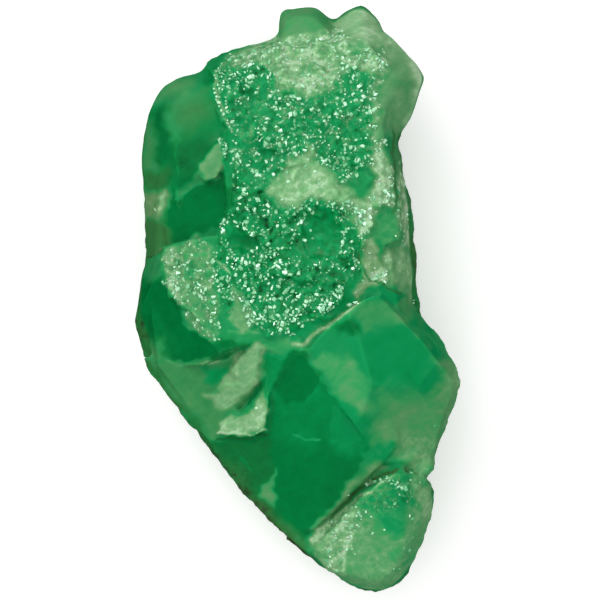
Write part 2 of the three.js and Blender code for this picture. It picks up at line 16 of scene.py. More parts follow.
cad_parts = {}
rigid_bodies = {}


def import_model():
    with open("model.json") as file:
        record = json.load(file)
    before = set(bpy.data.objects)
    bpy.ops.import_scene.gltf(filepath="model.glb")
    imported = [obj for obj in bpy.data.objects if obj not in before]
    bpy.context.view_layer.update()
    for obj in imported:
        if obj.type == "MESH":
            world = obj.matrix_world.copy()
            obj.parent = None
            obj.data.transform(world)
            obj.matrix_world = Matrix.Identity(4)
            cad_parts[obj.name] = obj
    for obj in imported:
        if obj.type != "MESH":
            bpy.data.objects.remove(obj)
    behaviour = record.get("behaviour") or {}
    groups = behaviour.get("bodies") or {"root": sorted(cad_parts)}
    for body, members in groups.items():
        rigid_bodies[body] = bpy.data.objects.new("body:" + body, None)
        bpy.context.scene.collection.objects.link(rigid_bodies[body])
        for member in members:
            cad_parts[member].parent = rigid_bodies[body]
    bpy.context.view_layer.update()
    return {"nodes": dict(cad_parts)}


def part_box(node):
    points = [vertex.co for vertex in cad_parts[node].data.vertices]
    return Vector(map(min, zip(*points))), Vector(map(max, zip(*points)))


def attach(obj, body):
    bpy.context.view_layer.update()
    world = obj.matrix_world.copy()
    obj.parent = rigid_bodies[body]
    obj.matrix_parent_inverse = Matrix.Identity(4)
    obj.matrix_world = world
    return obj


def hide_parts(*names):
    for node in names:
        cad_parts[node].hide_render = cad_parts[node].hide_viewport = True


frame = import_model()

MM = 0.001
LOW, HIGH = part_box("emerald")
print("stone, mm:", [round((b - a) / MM, 2) for a, b in zip(LOW, HIGH)])

# %% [markdown]
# ## The camera
# The stone lies on its flattest side and is looked at from straight above, as on a mineral dealer's table.
# A long lens far away keeps the edges of the stone from leaning outwards. The frame is 60 mm wide at the
# height of the stone's widest line, which is 9 mm above the table. The camera stands a quarter of a
# millimetre right of the stone's middle, which leaves a little more white on that side.

# %% Camera
WIDEST_LINE = 9 * MM
FRAME_WIDTH = 60 * MM
SENSOR = 36
CAMERA_HEIGHT = 0.80
CAMERA_SIDE = 0.25 * MM

lens = bpy.data.cameras.new("long_lens")
lens.sensor_width = SENSOR
lens.lens = SENSOR * (CAMERA_HEIGHT - WIDEST_LINE) / FRAME_WIDTH
lens.clip_start = 0.05
lens.clip_end = 20
camera = bpy.data.objects.new("camera", lens)
camera.location = (CAMERA_SIDE, 0, CAMERA_HEIGHT)
bpy.context.collection.objects.link(camera)
bpy.context.scene.camera = camera
print("lens, mm:", round(lens.lens))

# %% [markdown]
# ## Colours and nodes
# A colour that is listed here is an sRGB value, and Blender's sockets want linear light, so one function
# turns the first into the second. A second function adds a node with its settings and links in one line,
# which keeps a long material readable.

# %% Small helpers for colour and nodes
def linear(hex_colour):
    """An sRGB hex colour as the linear RGBA that Blender's sockets want."""
    channels = [int(hex_colour[i:i + 2], 16) / 255 for i in (1, 3, 5)]
    return tuple(c / 12.92 if c <= 0.04045 else ((c + 0.055) / 1.055) ** 2.4 for c in channels) + (1.0,)


def node(tree, kind, links=None, **settings):
    """One node with its settings. links gives an input, by its name or number, a socket or a value."""
    made = tree.nodes.new(kind)
    for key, value in settings.items():
        setattr(made, key, value)
    for key, value in (links or {}).items():
        if isinstance(value, bpy.types.NodeSocket):
            tree.links.new(value, made.inputs[key])
        else:
            made.inputs[key].default_value = value
    return made


def new_material(name):
    """An empty material, and its output node."""
    material = bpy.data.materials.new(name)
    material.use_nodes = True
    material.node_tree.nodes.clear()
    return material, node(material.node_tree, "ShaderNodeOutputMaterial")


print("mid grey is", round(linear("#808080")[0], 3), "in linear light")

# %% [markdown]
# ## The board under the stone
# Dealers lay a stone on matt white card, which shows its outline and keeps its colour clean. A plain plane
# with a rough white material does. It gives off a little light of its own, so that it stays white round the
# stone. The stone doesn't see it in its reflections or get light from it, because the light of the room,
# below, already comes from that side, and twice as much would lay a grey haze over the clear faces.

# %% White board
BOARD_SIZE = 3

bpy.ops.object.select_all(action="DESELECT")
bpy.ops.mesh.primitive_plane_add(size=BOARD_SIZE, location=(0, 0, 0))
board = bpy.context.object
board.name = "white_board"
paper, paper_out = new_material("matt_white_board")
sheet = node(paper.node_tree, "ShaderNodeBsdfPrincipled", {"Base Color": linear("#f4f4f2"), "Roughness": 0.9,
             "Emission Color": linear("#ffffff"), "Emission Strength": 0.25})
paper.node_tree.links.new(sheet.outputs[0], paper_out.inputs[0])
board.data.materials.append(paper)
board.visible_glossy = False
board.visible_diffuse = False
print("board, m:", BOARD_SIZE)

# %% [markdown]
# ## The window and the small lamps
# A wide soft lamp from the far left, like a window, gives the slow shading of the flat faces. Sparkle needs
# something else: a broken facet flashes when it mirrors a lamp into the eye, so five small lamps stand in an
# arc beyond the far end of the stone. They work only in reflections, so they add sparks and no shadows. The
# window is kept out of reflections, because a wide white one would wash out the colour of the faces.

# %% Window and lamps
STONE_MIDDLE = Vector((0, 0, 0.012))
WINDOW_SIZE, WINDOW_WATTS = 0.36, 1.1
LAMP_SIZE, LAMP_WATTS = 0.05, 0.14
# The turn and the height of each small lamp, in degrees.
LAMPS = {"lamp_a": (62, 24), "lamp_b": (96, 50), "lamp_c": (148, 20), "lamp_d": (44, 44), "lamp_e": (118, 32)}


def around(turn, height, distance=0.42):
    """A place at that distance from the stone: turn in degrees from +X towards +Y, height above the table."""
    turn, height = math.radians(turn), math.radians(height)
    return (distance * math.cos(height) * math.cos(turn), distance * math.cos(height) * math.sin(turn),
            distance * math.sin(height))


def soft_lamp(name, place, size, watts):
    """A square white lamp at a place in metres, turned to the middle of the stone."""
    lamp = bpy.data.lights.new(name, "AREA")
    lamp.shape = "SQUARE"
    lamp.size = size
    lamp.energy = watts
    holder = bpy.data.objects.new(name, lamp)
    holder.location = place
    holder.rotation_euler = (STONE_MIDDLE - Vector(place)).to_track_quat("-Z", "Y").to_euler()
    bpy.context.collection.objects.link(holder)
    return holder


soft_lamp("window", around(132, 42, 0.55), WINDOW_SIZE, WINDOW_WATTS).visible_glossy = False
for name, (turn, height) in LAMPS.items():
    soft_lamp(name, around(turn, height), LAMP_SIZE, LAMP_WATTS).visible_diffuse = False

# %% [markdown]
# ## The light of the room
# In a room the ceiling is brighter than what stands low round the table. So the sky gets its strength from
# the height that a ray looks at: 0.40 at the horizon and 1.36 overhead. Faces that look up are lit well and
# walls fall into shade, which is what shows the form of the stone. The sky too is kept out of reflections,
# because an even white reflection would only make the stone look dusty.

# %% Sky
HORIZON, OVERHEAD = 0.40, 1.36

world = bpy.data.worlds.new("studio")
world.use_nodes = True
sky = world.node_tree
sky.nodes.clear()
toward = node(sky, "ShaderNodeTexCoord").outputs["Generated"]
height = node(sky, "ShaderNodeSeparateXYZ", {"Vector": toward}).outputs["Z"]
strength = node(sky, "ShaderNodeMapRange", {"Value": height, "From Min": 0, "From Max": 1,
                "To Min": HORIZON, "To Max": OVERHEAD}).outputs[0]
white = node(sky, "ShaderNodeBackground", {"Color": linear("#ffffff"), "Strength": strength})
node(sky, "ShaderNodeOutputWorld", {"Surface": white.outputs[0]})
bpy.context.scene.world = world
world.cycles_visibility.glossy = False
bpy.context.scene.view_settings.view_transform = "Standard"
print("sky nodes:", len(sky.nodes))

# %% [markdown]
# ## A fine skin
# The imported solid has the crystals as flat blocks. Real faces of a broken crystal are never quite flat, and
# their edges are a little rounded. Bump in a material can't round an edge, so the form itself is worked on:
# a copy of the solid is turned into an even skin of small squares (a voxel remesh) and relaxed once, after
# which modifiers can push it in and out anywhere.

# %% A fine skin over the solid
VOXEL = 0.2 * MM
WELD = 0.002 * MM

bpy.ops.object.select_all(action="DESELECT")
solid = frame["nodes"]["emerald"]
stone = solid.copy()
stone.data = solid.data.copy()
stone.parent = None
stone.matrix_world = Matrix.Identity(4)
stone.name = "stone"
bpy.context.collection.objects.link(stone)
stone.select_set(True)
bpy.context.view_layer.objects.active = stone
bpy.ops.object.mode_set(mode="EDIT")
bpy.ops.mesh.select_all(action="SELECT")
bpy.ops.mesh.remove_doubles(threshold=WELD)
bpy.ops.object.mode_set(mode="OBJECT")


def apply_modifier(target, kind, **settings):
    """Adds a modifier with its settings and applies it at once."""
    bpy.ops.object.select_all(action="DESELECT")
    target.select_set(True)
    bpy.context.view_layer.objects.active = target
    modifier = target.modifiers.new(kind.lower(), kind)
    for key, value in settings.items():
        setattr(modifier, key, value)
    bpy.ops.object.modifier_apply(modifier=modifier.name)


apply_modifier(stone, "REMESH", mode="VOXEL", voxel_size=VOXEL)
apply_modifier(stone, "SMOOTH", factor=0.5, iterations=1)
print("skin:", len(stone.data.vertices), "points")

# %% [markdown]
# ## One closed skin
# In narrow slots a voxel remesh leaves specks that hang loose. The highest point is surely on the stone
# itself, so everything that is linked to it is kept and the rest is deleted.

# %% Loose specks
points_before = len(stone.data.vertices)
bpy.ops.object.mode_set(mode="EDIT")
bpy.ops.mesh.select_mode(type="VERT")
bpy.ops.mesh.select_all(action="DESELECT")
bpy.ops.object.mode_set(mode="OBJECT")
max(stone.data.vertices, key=lambda v: v.co.z).select = True
bpy.ops.object.mode_set(mode="EDIT")
bpy.ops.mesh.select_linked()
bpy.ops.mesh.select_all(action="INVERT")
bpy.ops.mesh.delete(type="VERT")
bpy.ops.object.mode_set(mode="OBJECT")
print("loose points deleted:", points_before - len(stone.data.vertices))

# %% [markdown]
# ## Distances and noise
# What happens where on the stone is written as outlines and lines in millimetres, seen from above. To use
# them, each point of the skin needs to know how deep it is inside an outline, or how far from a line, and a
# soft step turns that distance into a share from 0 to 1. Numpy does this for all the points at once.

# %% Distances to outlines and lines
def segment_distance(points, a, b):
    """The distance of each point to the straight line from a to b, in mm."""
    side = np.subtract(b, a)
    share = np.clip((points - a) @ side / (side @ side), 0, 1)
    return np.hypot(*(points - a - share[:, None] * side).T)


def line_distance(points, line):
    """The distance of each point to a line of several corners."""
    return np.min([segment_distance(points, a, b) for a, b in zip(line, line[1:])], axis=0)


def depth_inside(points, outline):
    """How far each (x, y) is inside an outline, in mm; outside it is negative."""
    inside = np.zeros(len(points), bool)
    for a, b in zip(outline, outline[1:] + outline[:1]):
        crosses = (points[:, 1] < a[1]) != (points[:, 1] < b[1])
        slope = (b[0] - a[0]) / (b[1] - a[1]) if b[1] != a[1] else 0
        inside ^= crosses & (points[:, 0] < a[0] + (points[:, 1] - a[1]) * slope)
    nearest = line_distance(points, outline + outline[:1])
    return np.where(inside, nearest, -nearest)


def smooth_step(share):
    """0 below 0, 1 above 1, and a soft rise between."""
    share = np.clip(share, 0, 1)
    return share * share * (3 - 2 * share)


def inside_any(points, outlines, edge=0.8):
    """1 inside any of the outlines and 0 outside, with a soft edge in mm, for points in metres."""
    flat = points[:, :2] / MM
    return np.max([smooth_step(0.5 + depth_inside(flat, o) / edge) for o in outlines], axis=0)


print("1 mm inside a 4 mm square:", depth_inside(np.array([[1.0, 2.0]]), [(0, 0), (4, 0), (4, 4), (0, 4)]))

# %% Points and noise
def points_of(mesh, what="co"):
    """The mesh's points, or their normals, as a numpy array."""
    flat = np.empty(len(mesh.vertices) * 3)
    mesh.vertices.foreach_get(what, flat)
    return flat.reshape(-1, 3)


def move_points(mesh, points):
    """Puts the mesh's points at new places."""
    mesh.vertices.foreach_set("co", points.ravel())


def noise_of(points, size):
    """A smooth noise of that size in mm at each point, from about -0.7 to 0.7."""
    return np.array([noise.noise(Vector(p)) for p in points / (size * MM)])


def weigh(target, name, weights):
    """A vertex group with one weight per point."""
    group = target.vertex_groups.new(name=name)
    steps = np.round(np.clip(weights, 0, 1) * 20).astype(int)
    for step in np.unique(steps):
        group.add(np.nonzero(steps == step)[0].tolist(), step / 20, "REPLACE")


print("middle of the skin, mm:", (points_of(stone.data).mean(axis=0) / MM).round(1))

# %% [markdown]
# ## Where the stone is worn
# Some crystals of the lump have crisp edges, and others were rubbed round: the block at the upper left with
# the pocket below it, the end lump, the right wall, and the knobs at the far end. Two joints between blocks
# don't show on the stone at all, and one groove is partly filled. A bevel would need clean edges, which a
# remeshed skin doesn't have, so these places are weighed with a vertex group and smoothed many times.

# %% Outlines of the worn places
ROUNDED = [
    [(-17, 24.5), (-9, 24.5), (-8.4, 19), (-7.6, 16.4), (-8.8, 12.8), (-12.8, 11.2), (-17, 11.4)],
    [(-17.5, 11), (-13.4, 10.6), (-13.8, 4.6), (-17.5, 4.2)],
    [(1.2, -25.2), (5.8, -22), (9.6, -19.4), (13, -18.6), (18, -19), (18, -31), (0, -31)],
    [(9.4, -16.3), (15, -15.8), (15, -18.4), (9.4, -18)],
    [(8.4, 27), (8, 20), (8, 14.2), (9.4, 12), (9.8, 0.6), (14, 0.6), (14, 13), (18, 16), (18, 27)],
    [(-3.4, 31), (3, 31), (4.2, 27.6), (2.6, 26.2), (-3.4, 25.4)],
    [(3.4, 28.4), (5, 31), (10.5, 29), (10, 25), (5, 25.6)],
]
# Joints of two flat faces that don't show on the stone, and a groove that is partly filled.
SOFTENED = [
    [(5.8, -11.4), (9.2, -11.4), (10.4, -14.2), (9, -15), (6.8, -14.8)],
    [(3.8, -13.2), (2.6, -13.6), (1.5, -21.4), (2.9, -21.2)],
    [(-2.9, -6.8), (-4.4, -8.4), (-7.3, -11.1), (-6.9, -12), (-5, -11.3), (-3.3, -9.4)],
]
print("rounded:", len(ROUNDED), "softened:", len(SOFTENED))

# %% [markdown]
# ## A hole that is filled, and knobs that end blunt
# Between two crystals the blocks leave a deep hole, which on the stone is filled with broken bits: its floor
# is lifted. Under the knobs and the upper right crystal the blocks would end in thin teeth, and a brittle
# mineral breaks off blunt there, so the lowest points are drawn up. Smoothing makes a knob shorter, so the
# far end is moved out by a third of a millimetre afterwards.

# %% Lift, round and reach
HOLE = [(9.4, -16.2), (13.6, -15.9), (13.8, -18), (9.4, -17.9)]
HOLE_FOOT = 9 * MM
HOLE_FLOOR = 12.2 * MM
OVERHANGS = [
    [(2, 24.4), (11, 24.4), (11, 31), (2, 31)],
    [(-4, 25.6), (3, 25.6), (3, 31), (-4, 31)],
    [(7.4, 16.4), (14, 16.4), (14, 27), (7.4, 27)],
]
BLUNT_END = 8 * MM
ROUNDING_PASSES = 80
KNOB_REACH = 0.35 * MM

skin = points_of(stone.data)
skin[:, 2] += 0.75 * inside_any(skin, OVERHANGS, 1.6) * np.maximum(BLUNT_END - skin[:, 2], 0)
in_hole = inside_any(skin, [HOLE], 0.4) * (skin[:, 2] > HOLE_FOOT)
skin[:, 2] += 0.9 * in_hole * np.maximum(HOLE_FLOOR - skin[:, 2], 0)
move_points(stone.data, skin)
weigh(stone, "round", inside_any(skin, ROUNDED + SOFTENED))
apply_modifier(stone, "SMOOTH", factor=0.5, iterations=ROUNDING_PASSES, vertex_group="round")
skin = points_of(stone.data)
skin[:, 1] += KNOB_REACH * smooth_step(skin[:, 0] / (2 * MM) + 2) * smooth_step((skin[:, 1] / MM - 24) / 3)
move_points(stone.data, skin)
print("reaches to y, mm:", round(skin[:, 1].max() / MM, 2))

# %% [markdown]
# ## Where the stone is clear, milky or stained
# Emerald is dark and saturated where it is clear, and pale where it is full of cracks and tiny bubbles, which
# dealers call "garden". One number per point, milk, says how much of that there is, from 0 (clear) to 1
# (frosted). A second one, stain, says where brown dirt from the vein sits in the rough, and a third, grit,
# how sugary the break is. A texture can't know where one crystal ends and the next begins, so each crystal
# has its own outline and values. They are painted one over the other, so a small patch comes after the large
# one that it lies on. Each row has a name, milk, stain, grit, how soft its edge is in mm, and its outline.

# %% The block at the upper left
UPPER_LEFT = [
    ("upper left block", 0.21, 0, 0, 0.8, [(-16, 23), (-16, 10), (-7, 10), (-6.5, 17), (-8, 23)]),
    ("its lower part", 0.05, 0, 0, 1.4, [(-12.4, 16), (-8.6, 16), (-9.6, 12), (-12.6, 12)]),
    ("its brownish top", 0.6, 0.35, 0, 1.6, [(-14.6, 20), (-12.6, 22.4), (-10.2, 22.6), (-10.4, 20.2),
     (-12.4, 19.6)]),
    ("its cloud", 0.28, 0.4, 0, 1.4, [(-12.4, 19.8), (-9.2, 20.2), (-8.6, 18.6), (-10.2, 17.2),
     (-12.2, 17)]),
    ("its dark band", 0.07, 0, 0, 0.8, [(-14.4, 19), (-13.1, 19), (-12.7, 14), (-14, 13.4)]),
    ("its milky edge", 0.44, 0.45, 0, 0.7, [(-15.6, 17.6), (-14.5, 17.8), (-14.1, 13), (-15.5, 12.6)]),
    ("its dull foot", 0.11, 0.3, 0, 0.7, [(-15.6, 12.7), (-12.9, 12.9), (-12.9, 11), (-15.6, 11)]),
    ("pale inner strip", 0.36, 0.2, 0.1, 0.6, [(-13.1, 18.6), (-12.3, 18.2), (-12, 15.9), (-12.6, 15.8)]),
    ("window", 0.09, 0, 0, 0.25, [(-12.8, 10.2), (-9.3, 11.6), (-7.6, 12), (-6.2, 10.8), (-6.2, 9.3),
     (-7.6, 7.5), (-9.3, 6.5), (-12.6, 5.5), (-13, 7.5)]),
    ("wedge", 0.72, 0.12, 0.1, 0.2, [(-9.8, 12.6), (-9.2, 11.7), (-8, 12), (-7.1, 14.3), (-7.6, 15.8),
     (-8.6, 15)]),
    ("sliver", 0.5, 0.1, 0, 0.25, [(-12.4, 10), (-10.3, 11), (-9.2, 11.7), (-9.8, 12.8), (-10.6, 12.3)]),
    ("left pocket", 0.64, 0.6, 0.3, 0.5, [(-15.8, 8), (-13.6, 8), (-12.7, 10.8), (-15.4, 11)]),
    ("its bright side", 0.92, 0.15, 0.2, 0.3, [(-14.2, 8.6), (-13.5, 9), (-12.9, 10.8), (-13.8, 10.2)]),
    ("pocket floor", 0.11, 0.4, 0, 0.5, [(-15.8, 4.2), (-12.6, 5.2), (-13.2, 8), (-15.8, 8)]),
]
print("upper left:", len(UPPER_LEFT), "patches")

# %% The shoulder, the slope and the ledges at the lower left
LOWER_LEFT = [
    ("pale shoulder", 0.62, 0.05, 0.6, 0.3, [(-13.6, 4.2), (-12.2, 5.4), (-9.8, 6.4), (-8.4, 5.4),
     (-8.2, 2.6), (-7.6, 0), (-7.9, -3.6), (-8.9, -4), (-10.6, -2.8), (-12, -0.6), (-13, 1.6)]),
    ("its frosted edge", 0.84, 0.12, 0.75, 0.5, [(-13.4, 4.2), (-12.2, 5.2), (-11.2, 4.4), (-11.8, 2),
     (-11.4, -0.2), (-12, -0.4), (-13, 2)]),
    ("left band", 0.09, 0, 0, 0.3, [(-17, 3.6), (-13.8, 3.6), (-13, 1), (-11.9, -0.8), (-10.6, -2.9),
     (-8.6, -4.1), (-7.2, -4), (-4.5, -4.2), (-6.8, -5.9), (-10, -6), (-12.5, -6.3), (-17, -4.6)]),
    ("its olive top", 0.38, 0.25, 0, 0.6, [(-15.6, 4.4), (-13.7, 4.2), (-13.4, 2.4), (-15.4, 2)]),
    ("its milky end", 0.58, 0.35, 0, 0.8, [(-15.4, -4), (-13.8, -4.2), (-12.9, -5.9), (-15.4, -6)]),
    ("lower left slope", 0.46, 0.35, 0.1, 0.4, [(-17, -5.2), (-12.5, -6.4), (-10, -6.1), (-6.8, -6),
     (-4.4, -4.5), (-3, -5.6), (-3.2, -9), (-7.6, -12.4), (-8.2, -14), (-12, -13)]),
    ("clear patch", 0.3, 0, 0, 0.4, [(-9.4, -8.2), (-7.2, -8.3), (-6.8, -6.6), (-9.2, -6.6)]),
    ("bean", 0.81, 0.06, 0.15, 0.25, [(-4.8, -4.4), (-3.4, -4.4), (-3.2, -5.5), (-4.2, -8.5), (-6.2, -10.6),
     (-7.5, -11), (-9.4, -9.7), (-7.8, -9), (-6.9, -7), (-5.4, -5)]),
    # The crescent is painted shade: a dark groove under the bean.
    ("crescent", 0.19, 0, 0, 0.2, [(-3, -5.6), (-3.2, -8.8), (-4.6, -10.3), (-7, -11.6), (-5.5, -10.7),
     (-4.1, -9), (-3.3, -7)]),
    ("ledge", 0.85, 0.05, 0.25, 0.2, [(-8, -13.2), (-7.6, -12.2), (-5, -11.1), (-3.2, -9.2), (-2.6, -8.9),
     (-2.9, -10.5), (-3, -12.8), (-4.3, -13.6), (-7, -13.5)]),
]
print("lower left:", len(LOWER_LEFT), "patches")

# %% The large face in the middle
MIDDLE = [
    ("middle face", 0.12, 0, 0, 0.3, [(-3.1, -5.4), (-2.9, -13), (-8.2, -14), (-12, -14), (-2, -25),
     (1.2, -24), (3, -21), (6.8, -15.6), (7.4, -13.6), (7.6, -11), (4.6, -10), (2.3, -8), (0, -5)]),
    ("middle face top", 0.22, 0, 0, 0.9, [(-2.9, -9.6), (-2.8, -13.6), (1, -15), (3.4, -12), (3.4, -9.4),
     (2.2, -8)]),
    ("middle face right", 0.29, 0, 0, 0.9, [(3.6, -9.4), (4.8, -10.2), (7.2, -11), (7, -14), (5.6, -16),
     (3, -14)]),
    ("middle face left", 0.09, 0.06, 0.05, 0.4, [(-9, -14.2), (-2.8, -14), (-2.4, -16.8), (-2.3, -19.8),
     (-5, -19)]),
    ("its foot", 0.26, 0.35, 0.1, 0.6, [(-5, -19.4), (-3.6, -20.4), (1.2, -24.4), (0.6, -26), (-5, -21)]),
    ("light zone", 0.52, 0, 0.1, 0.8, [(-3.1, -3.6), (0.4, -4.1), (0, -5), (-1.4, -5.6), (-3, -5.4)]),
    ("left of the lens", 0.26, 0, 0, 0.4, [(-2.9, -5.6), (-1.4, -5.8), (-2.2, -8), (-2, -9.6),
     (-2.9, -9.8)]),
    ("lens", 0.1, 0, 0, 0.15, [(0.5, -4.8), (1.5, -5.9), (2.3, -7.5), (1.9, -8.9), (0.8, -10.1),
     (-1.4, -10.4), (-2.2, -8.2), (-1.7, -6.6), (-0.7, -5.4)]),
    ("pale sliver", 0.62, 0.15, 0, 0.35, [(-2.3, -16.7), (-2.8, -17.8), (-3.5, -18.7), (-3.7, -19.8),
     (-2.6, -20.6), (-2.2, -19.3)]),
]
print("middle:", len(MIDDLE), "patches")

# %% The crystal on the right
RIGHT = [
    ("right crystal", 0.38, 0.05, 0, 0.3, [(1, -4.4), (7, 0.6), (10.8, 0.2), (17, -4), (17, -15), (9, -17),
     (6.8, -15.4), (7.6, -12), (4.6, -10), (3.5, -9), (3.3, -7.8), (1.6, -6.1)]),
    ("its lower side", 0.62, 0.12, 0.1, 1.5, [(7.8, -10.6), (9, -9.6), (12.8, -9.6), (15.2, -7.4),
     (16, -10), (14, -15), (8, -14.6), (7.2, -13)]),
    ("its frosted end", 0.72, 0.08, 0.4, 1, [(10.2, -13.8), (13.4, -13.2), (14, -17.2), (10.8, -16.8),
     (10, -15)]),
    ("milky zone", 0.57, 0, 0, 0.6, [(1.6, -6.1), (2.5, -5.2), (5.2, -5.6), (6.1, -6.1), (6.7, -8.4),
     (7.8, -10.9), (6.2, -11.4), (4.6, -10.1), (3.5, -9), (3.3, -7.8), (2.2, -7.3)]),
    ("bright face", 0.34, 0, 0, 0.6, [(4.8, -4.2), (6.7, -3.1), (10.7, -1.8), (12.4, -2.1), (15.2, -5.2),
     (15.2, -6.9), (12.8, -9.2), (10.9, -8.2), (9, -8), (7.8, -9), (6.5, -6.5)]),
    # Its outer side and outer foot are painted paler than the face beside them: painted light, so this side
    # facet stays as bright as the top.
    ("its outer side", 0.45, 0, 0, 0.3, [(8, 1.5), (9.2, -0.9), (11.7, -3.6), (13.9, -6.4), (15.4, -8.3),
     (17.5, -8), (17.5, -4), (14.4, -0.6), (12, 0.8)]),
    ("its outer top", 0.74, 0.05, 0, 0.9, [(8, 1.5), (9.2, -0.9), (10.8, -2), (12.4, -1.4), (12, 0.8)]),
    ("its outer foot", 0.76, 0.05, 0.1, 1, [(17.5, -5.4), (17.5, -15), (14, -15), (15, -8.4),
     (14.2, -6.4)]),
    ("top of it", 0.5, 0.1, 0, 0.9, [(5.6, -0.6), (7, 0.2), (10.8, 0), (12.2, -1.6), (10.4, -1.6),
     (6.6, -3), (5.4, -2)]),
    ("clear spot", 0.07, 0, 0, 0.5, [(3.6, -2.6), (4.8, -2), (6.2, -2.2), (6.5, -3), (5.4, -3.5),
     (4, -3.4)]),
    ("dark triangle", 0.34, 0, 0, 0.25, [(6.8, 1.3), (9.4, 1.7), (10.8, 0.2), (9, -0.4), (7, 0.2)]),
    ("valley", 0.36, 0, 0.2, 0.35, [(6.4, -15.2), (7.6, -14.2), (9.8, -13.9), (9.8, -15.2), (8, -16.4)]),
    ("crevice side", 0.69, 0.12, 0.2, 0.3, [(1.4, -22.9), (3.2, -20.6), (5.5, -17.9), (7.8, -16.2),
     (9, -16.4), (6, -18.9), (3, -22)]),
]
print("right:", len(RIGHT), "patches")

# %% The lump at the near end
END_LUMP = [
    ("end lump", 0.66, 0, 0.3, 0.25, [(1, -24.2), (2, -23.2), (4, -21.5), (6, -19.8), (8.5, -18),
     (10.5, -16.4), (17, -16), (17, -31), (0, -31)]),
    ("end lump left", 0.88, 0.1, 0.6, 1.1, [(1.2, -24), (2.2, -23), (4.2, -21.4), (6, -20.4), (6, -22.6),
     (5, -26), (3.4, -27)]),
    ("end lump top", 0.42, 0, 0.62, 1.1, [(5.9, -20), (8.6, -17.8), (11, -17.3), (11.6, -20.4), (9, -21.2),
     (6.2, -21.6)]),
    ("clear end", 0.33, 0, 0.1, 1.1, [(8.3, -21.2), (10.4, -21), (11, -22.4), (9.6, -23.4), (8.2, -22.8)]),
    ("end lump edge", 0.8, 0.1, 0.3, 0.5, [(11.8, -18.6), (13.8, -18.8), (14.6, -21), (12.8, -22)]),
]
print("near end:", len(END_LUMP), "patches")

# %% [markdown]
# ## The sugary break
# The upper middle of the stone is a fresh break across the grain. Its grit is 1 where it sparkles most, less
# in two smooth bowls, and about a half on the frosted patches, whose grain is too fine to sparkle.

# %% Sugar
SUGAR = [
    ("sugar upper", 0.34, 0, 1, 0.4, [(-8.2, 22.8), (-7.9, 19.8), (-7.2, 18.2), (-6.4, 16.4), (-6.6, 13),
     (-3.2, 11), (-2.2, 9.8), (4.4, 11), (7.6, 14), (7.8, 19), (9, 23), (8.6, 26), (2, 26), (-5, 25)]),
    ("sugar clear", 0.34, 0, 1, 0.7, [(3, 13), (7.2, 13.6), (7.4, 21), (6, 23.4), (4.6, 21), (3.6, 17)]),
    ("sugar clear left", 0.33, 0, 1, 0.7, [(-7.2, 21.6), (-3.4, 22), (-2.8, 19), (-3, 14), (-6, 12.6),
     (-6, 17)]),
    ("sugar top", 0.8, 0, 0.6, 0.6, [(-7.6, 23), (-2.8, 23.4), (-1.6, 20.8), (1.4, 19.8), (3.4, 21),
     (5, 23), (8.8, 22), (9.6, 26), (6, 28), (-4, 27)]),
    ("its frosted heart", 0.89, 0.05, 0.6, 0.8, [(-4, 24.4), (1, 25), (3.6, 23.6), (1.6, 20.4),
     (-0.6, 21.2), (-2.4, 23)]),
    ("its right side", 0.8, 0.05, 0.7, 0.7, [(7.3, 22), (8.5, 22.6), (8.2, 18), (8.4, 14.4), (7.5, 14.4),
     (7.3, 18)]),
    ("sugar middle", 0.24, 0, 0.92, 0.4, [(-6.6, 13), (-6.3, 9.4), (-7.6, 7.4), (-8.3, 4), (-7.6, 0),
     (-6, -2.6), (0, -3.8), (5, -0.6), (7, 4), (7, 7), (5, 10), (4.4, 11), (-2.2, 9.8), (-3.2, 11)]),
    ("bowl", 0.22, 0, 0.3, 0.4, [(-0.5, 5), (1.4, 9), (3, 9.2), (4.4, 7.4), (4, 4), (1, 3.6)]),
    ("little bowl", 0.22, 0, 0.2, 0.3, [(-7, 7.2), (-4.4, 7), (-4, 5), (-6.2, 4.4), (-7.2, 5.6)]),
    ("clear strip by the crest", 0.28, 0, 0.1, 0.3, [(-1.6, -3.8), (0.6, -3.6), (3.6, -1.6), (5.4, -0.2),
     (6, 1.4), (5.6, 2.6), (4.6, 0.6), (2.4, -1.6), (-0.6, -2.8)]),
    ("central pale patch", 0.86, 0.05, 0.41, 0.5, [(-2.9, 10.9), (-2.3, 9.8), (-1.5, 9.1), (-0.3, 8.9),
     (1.2, 9.9), (3.4, 9.8), (4.3, 9.2), (5.2, 8.4), (6.4, 6.9), (7.2, 7.4), (7.4, 9.6), (5.8, 10.6),
     (3.8, 12.4), (2, 13.6), (1.7, 14.7), (0.7, 14.7), (-0.3, 14.1), (-1.3, 13.1), (-2.4, 12.2)]),
    ("pale strip", 0.94, 0.06, 0.6, 0.6, [(7.5, 14.2), (8.6, 14.8), (9.5, 13), (9.8, 9.4), (7.9, 9.2),
     (7.4, 6.6), (6.2, 6.6), (5.4, 8), (6.4, 9.4), (7.4, 10.8), (7.6, 12.6)]),
    ("pale chip", 0.7, 0.1, 0.3, 0.2, [(-6.6, -2.2), (-6.4, 1.3), (-5.4, 1.2), (-4.6, -0.6), (-4.2, -2.9),
     (-5.6, -3.1)]),
]
print("sugar:", len(SUGAR), "patches")

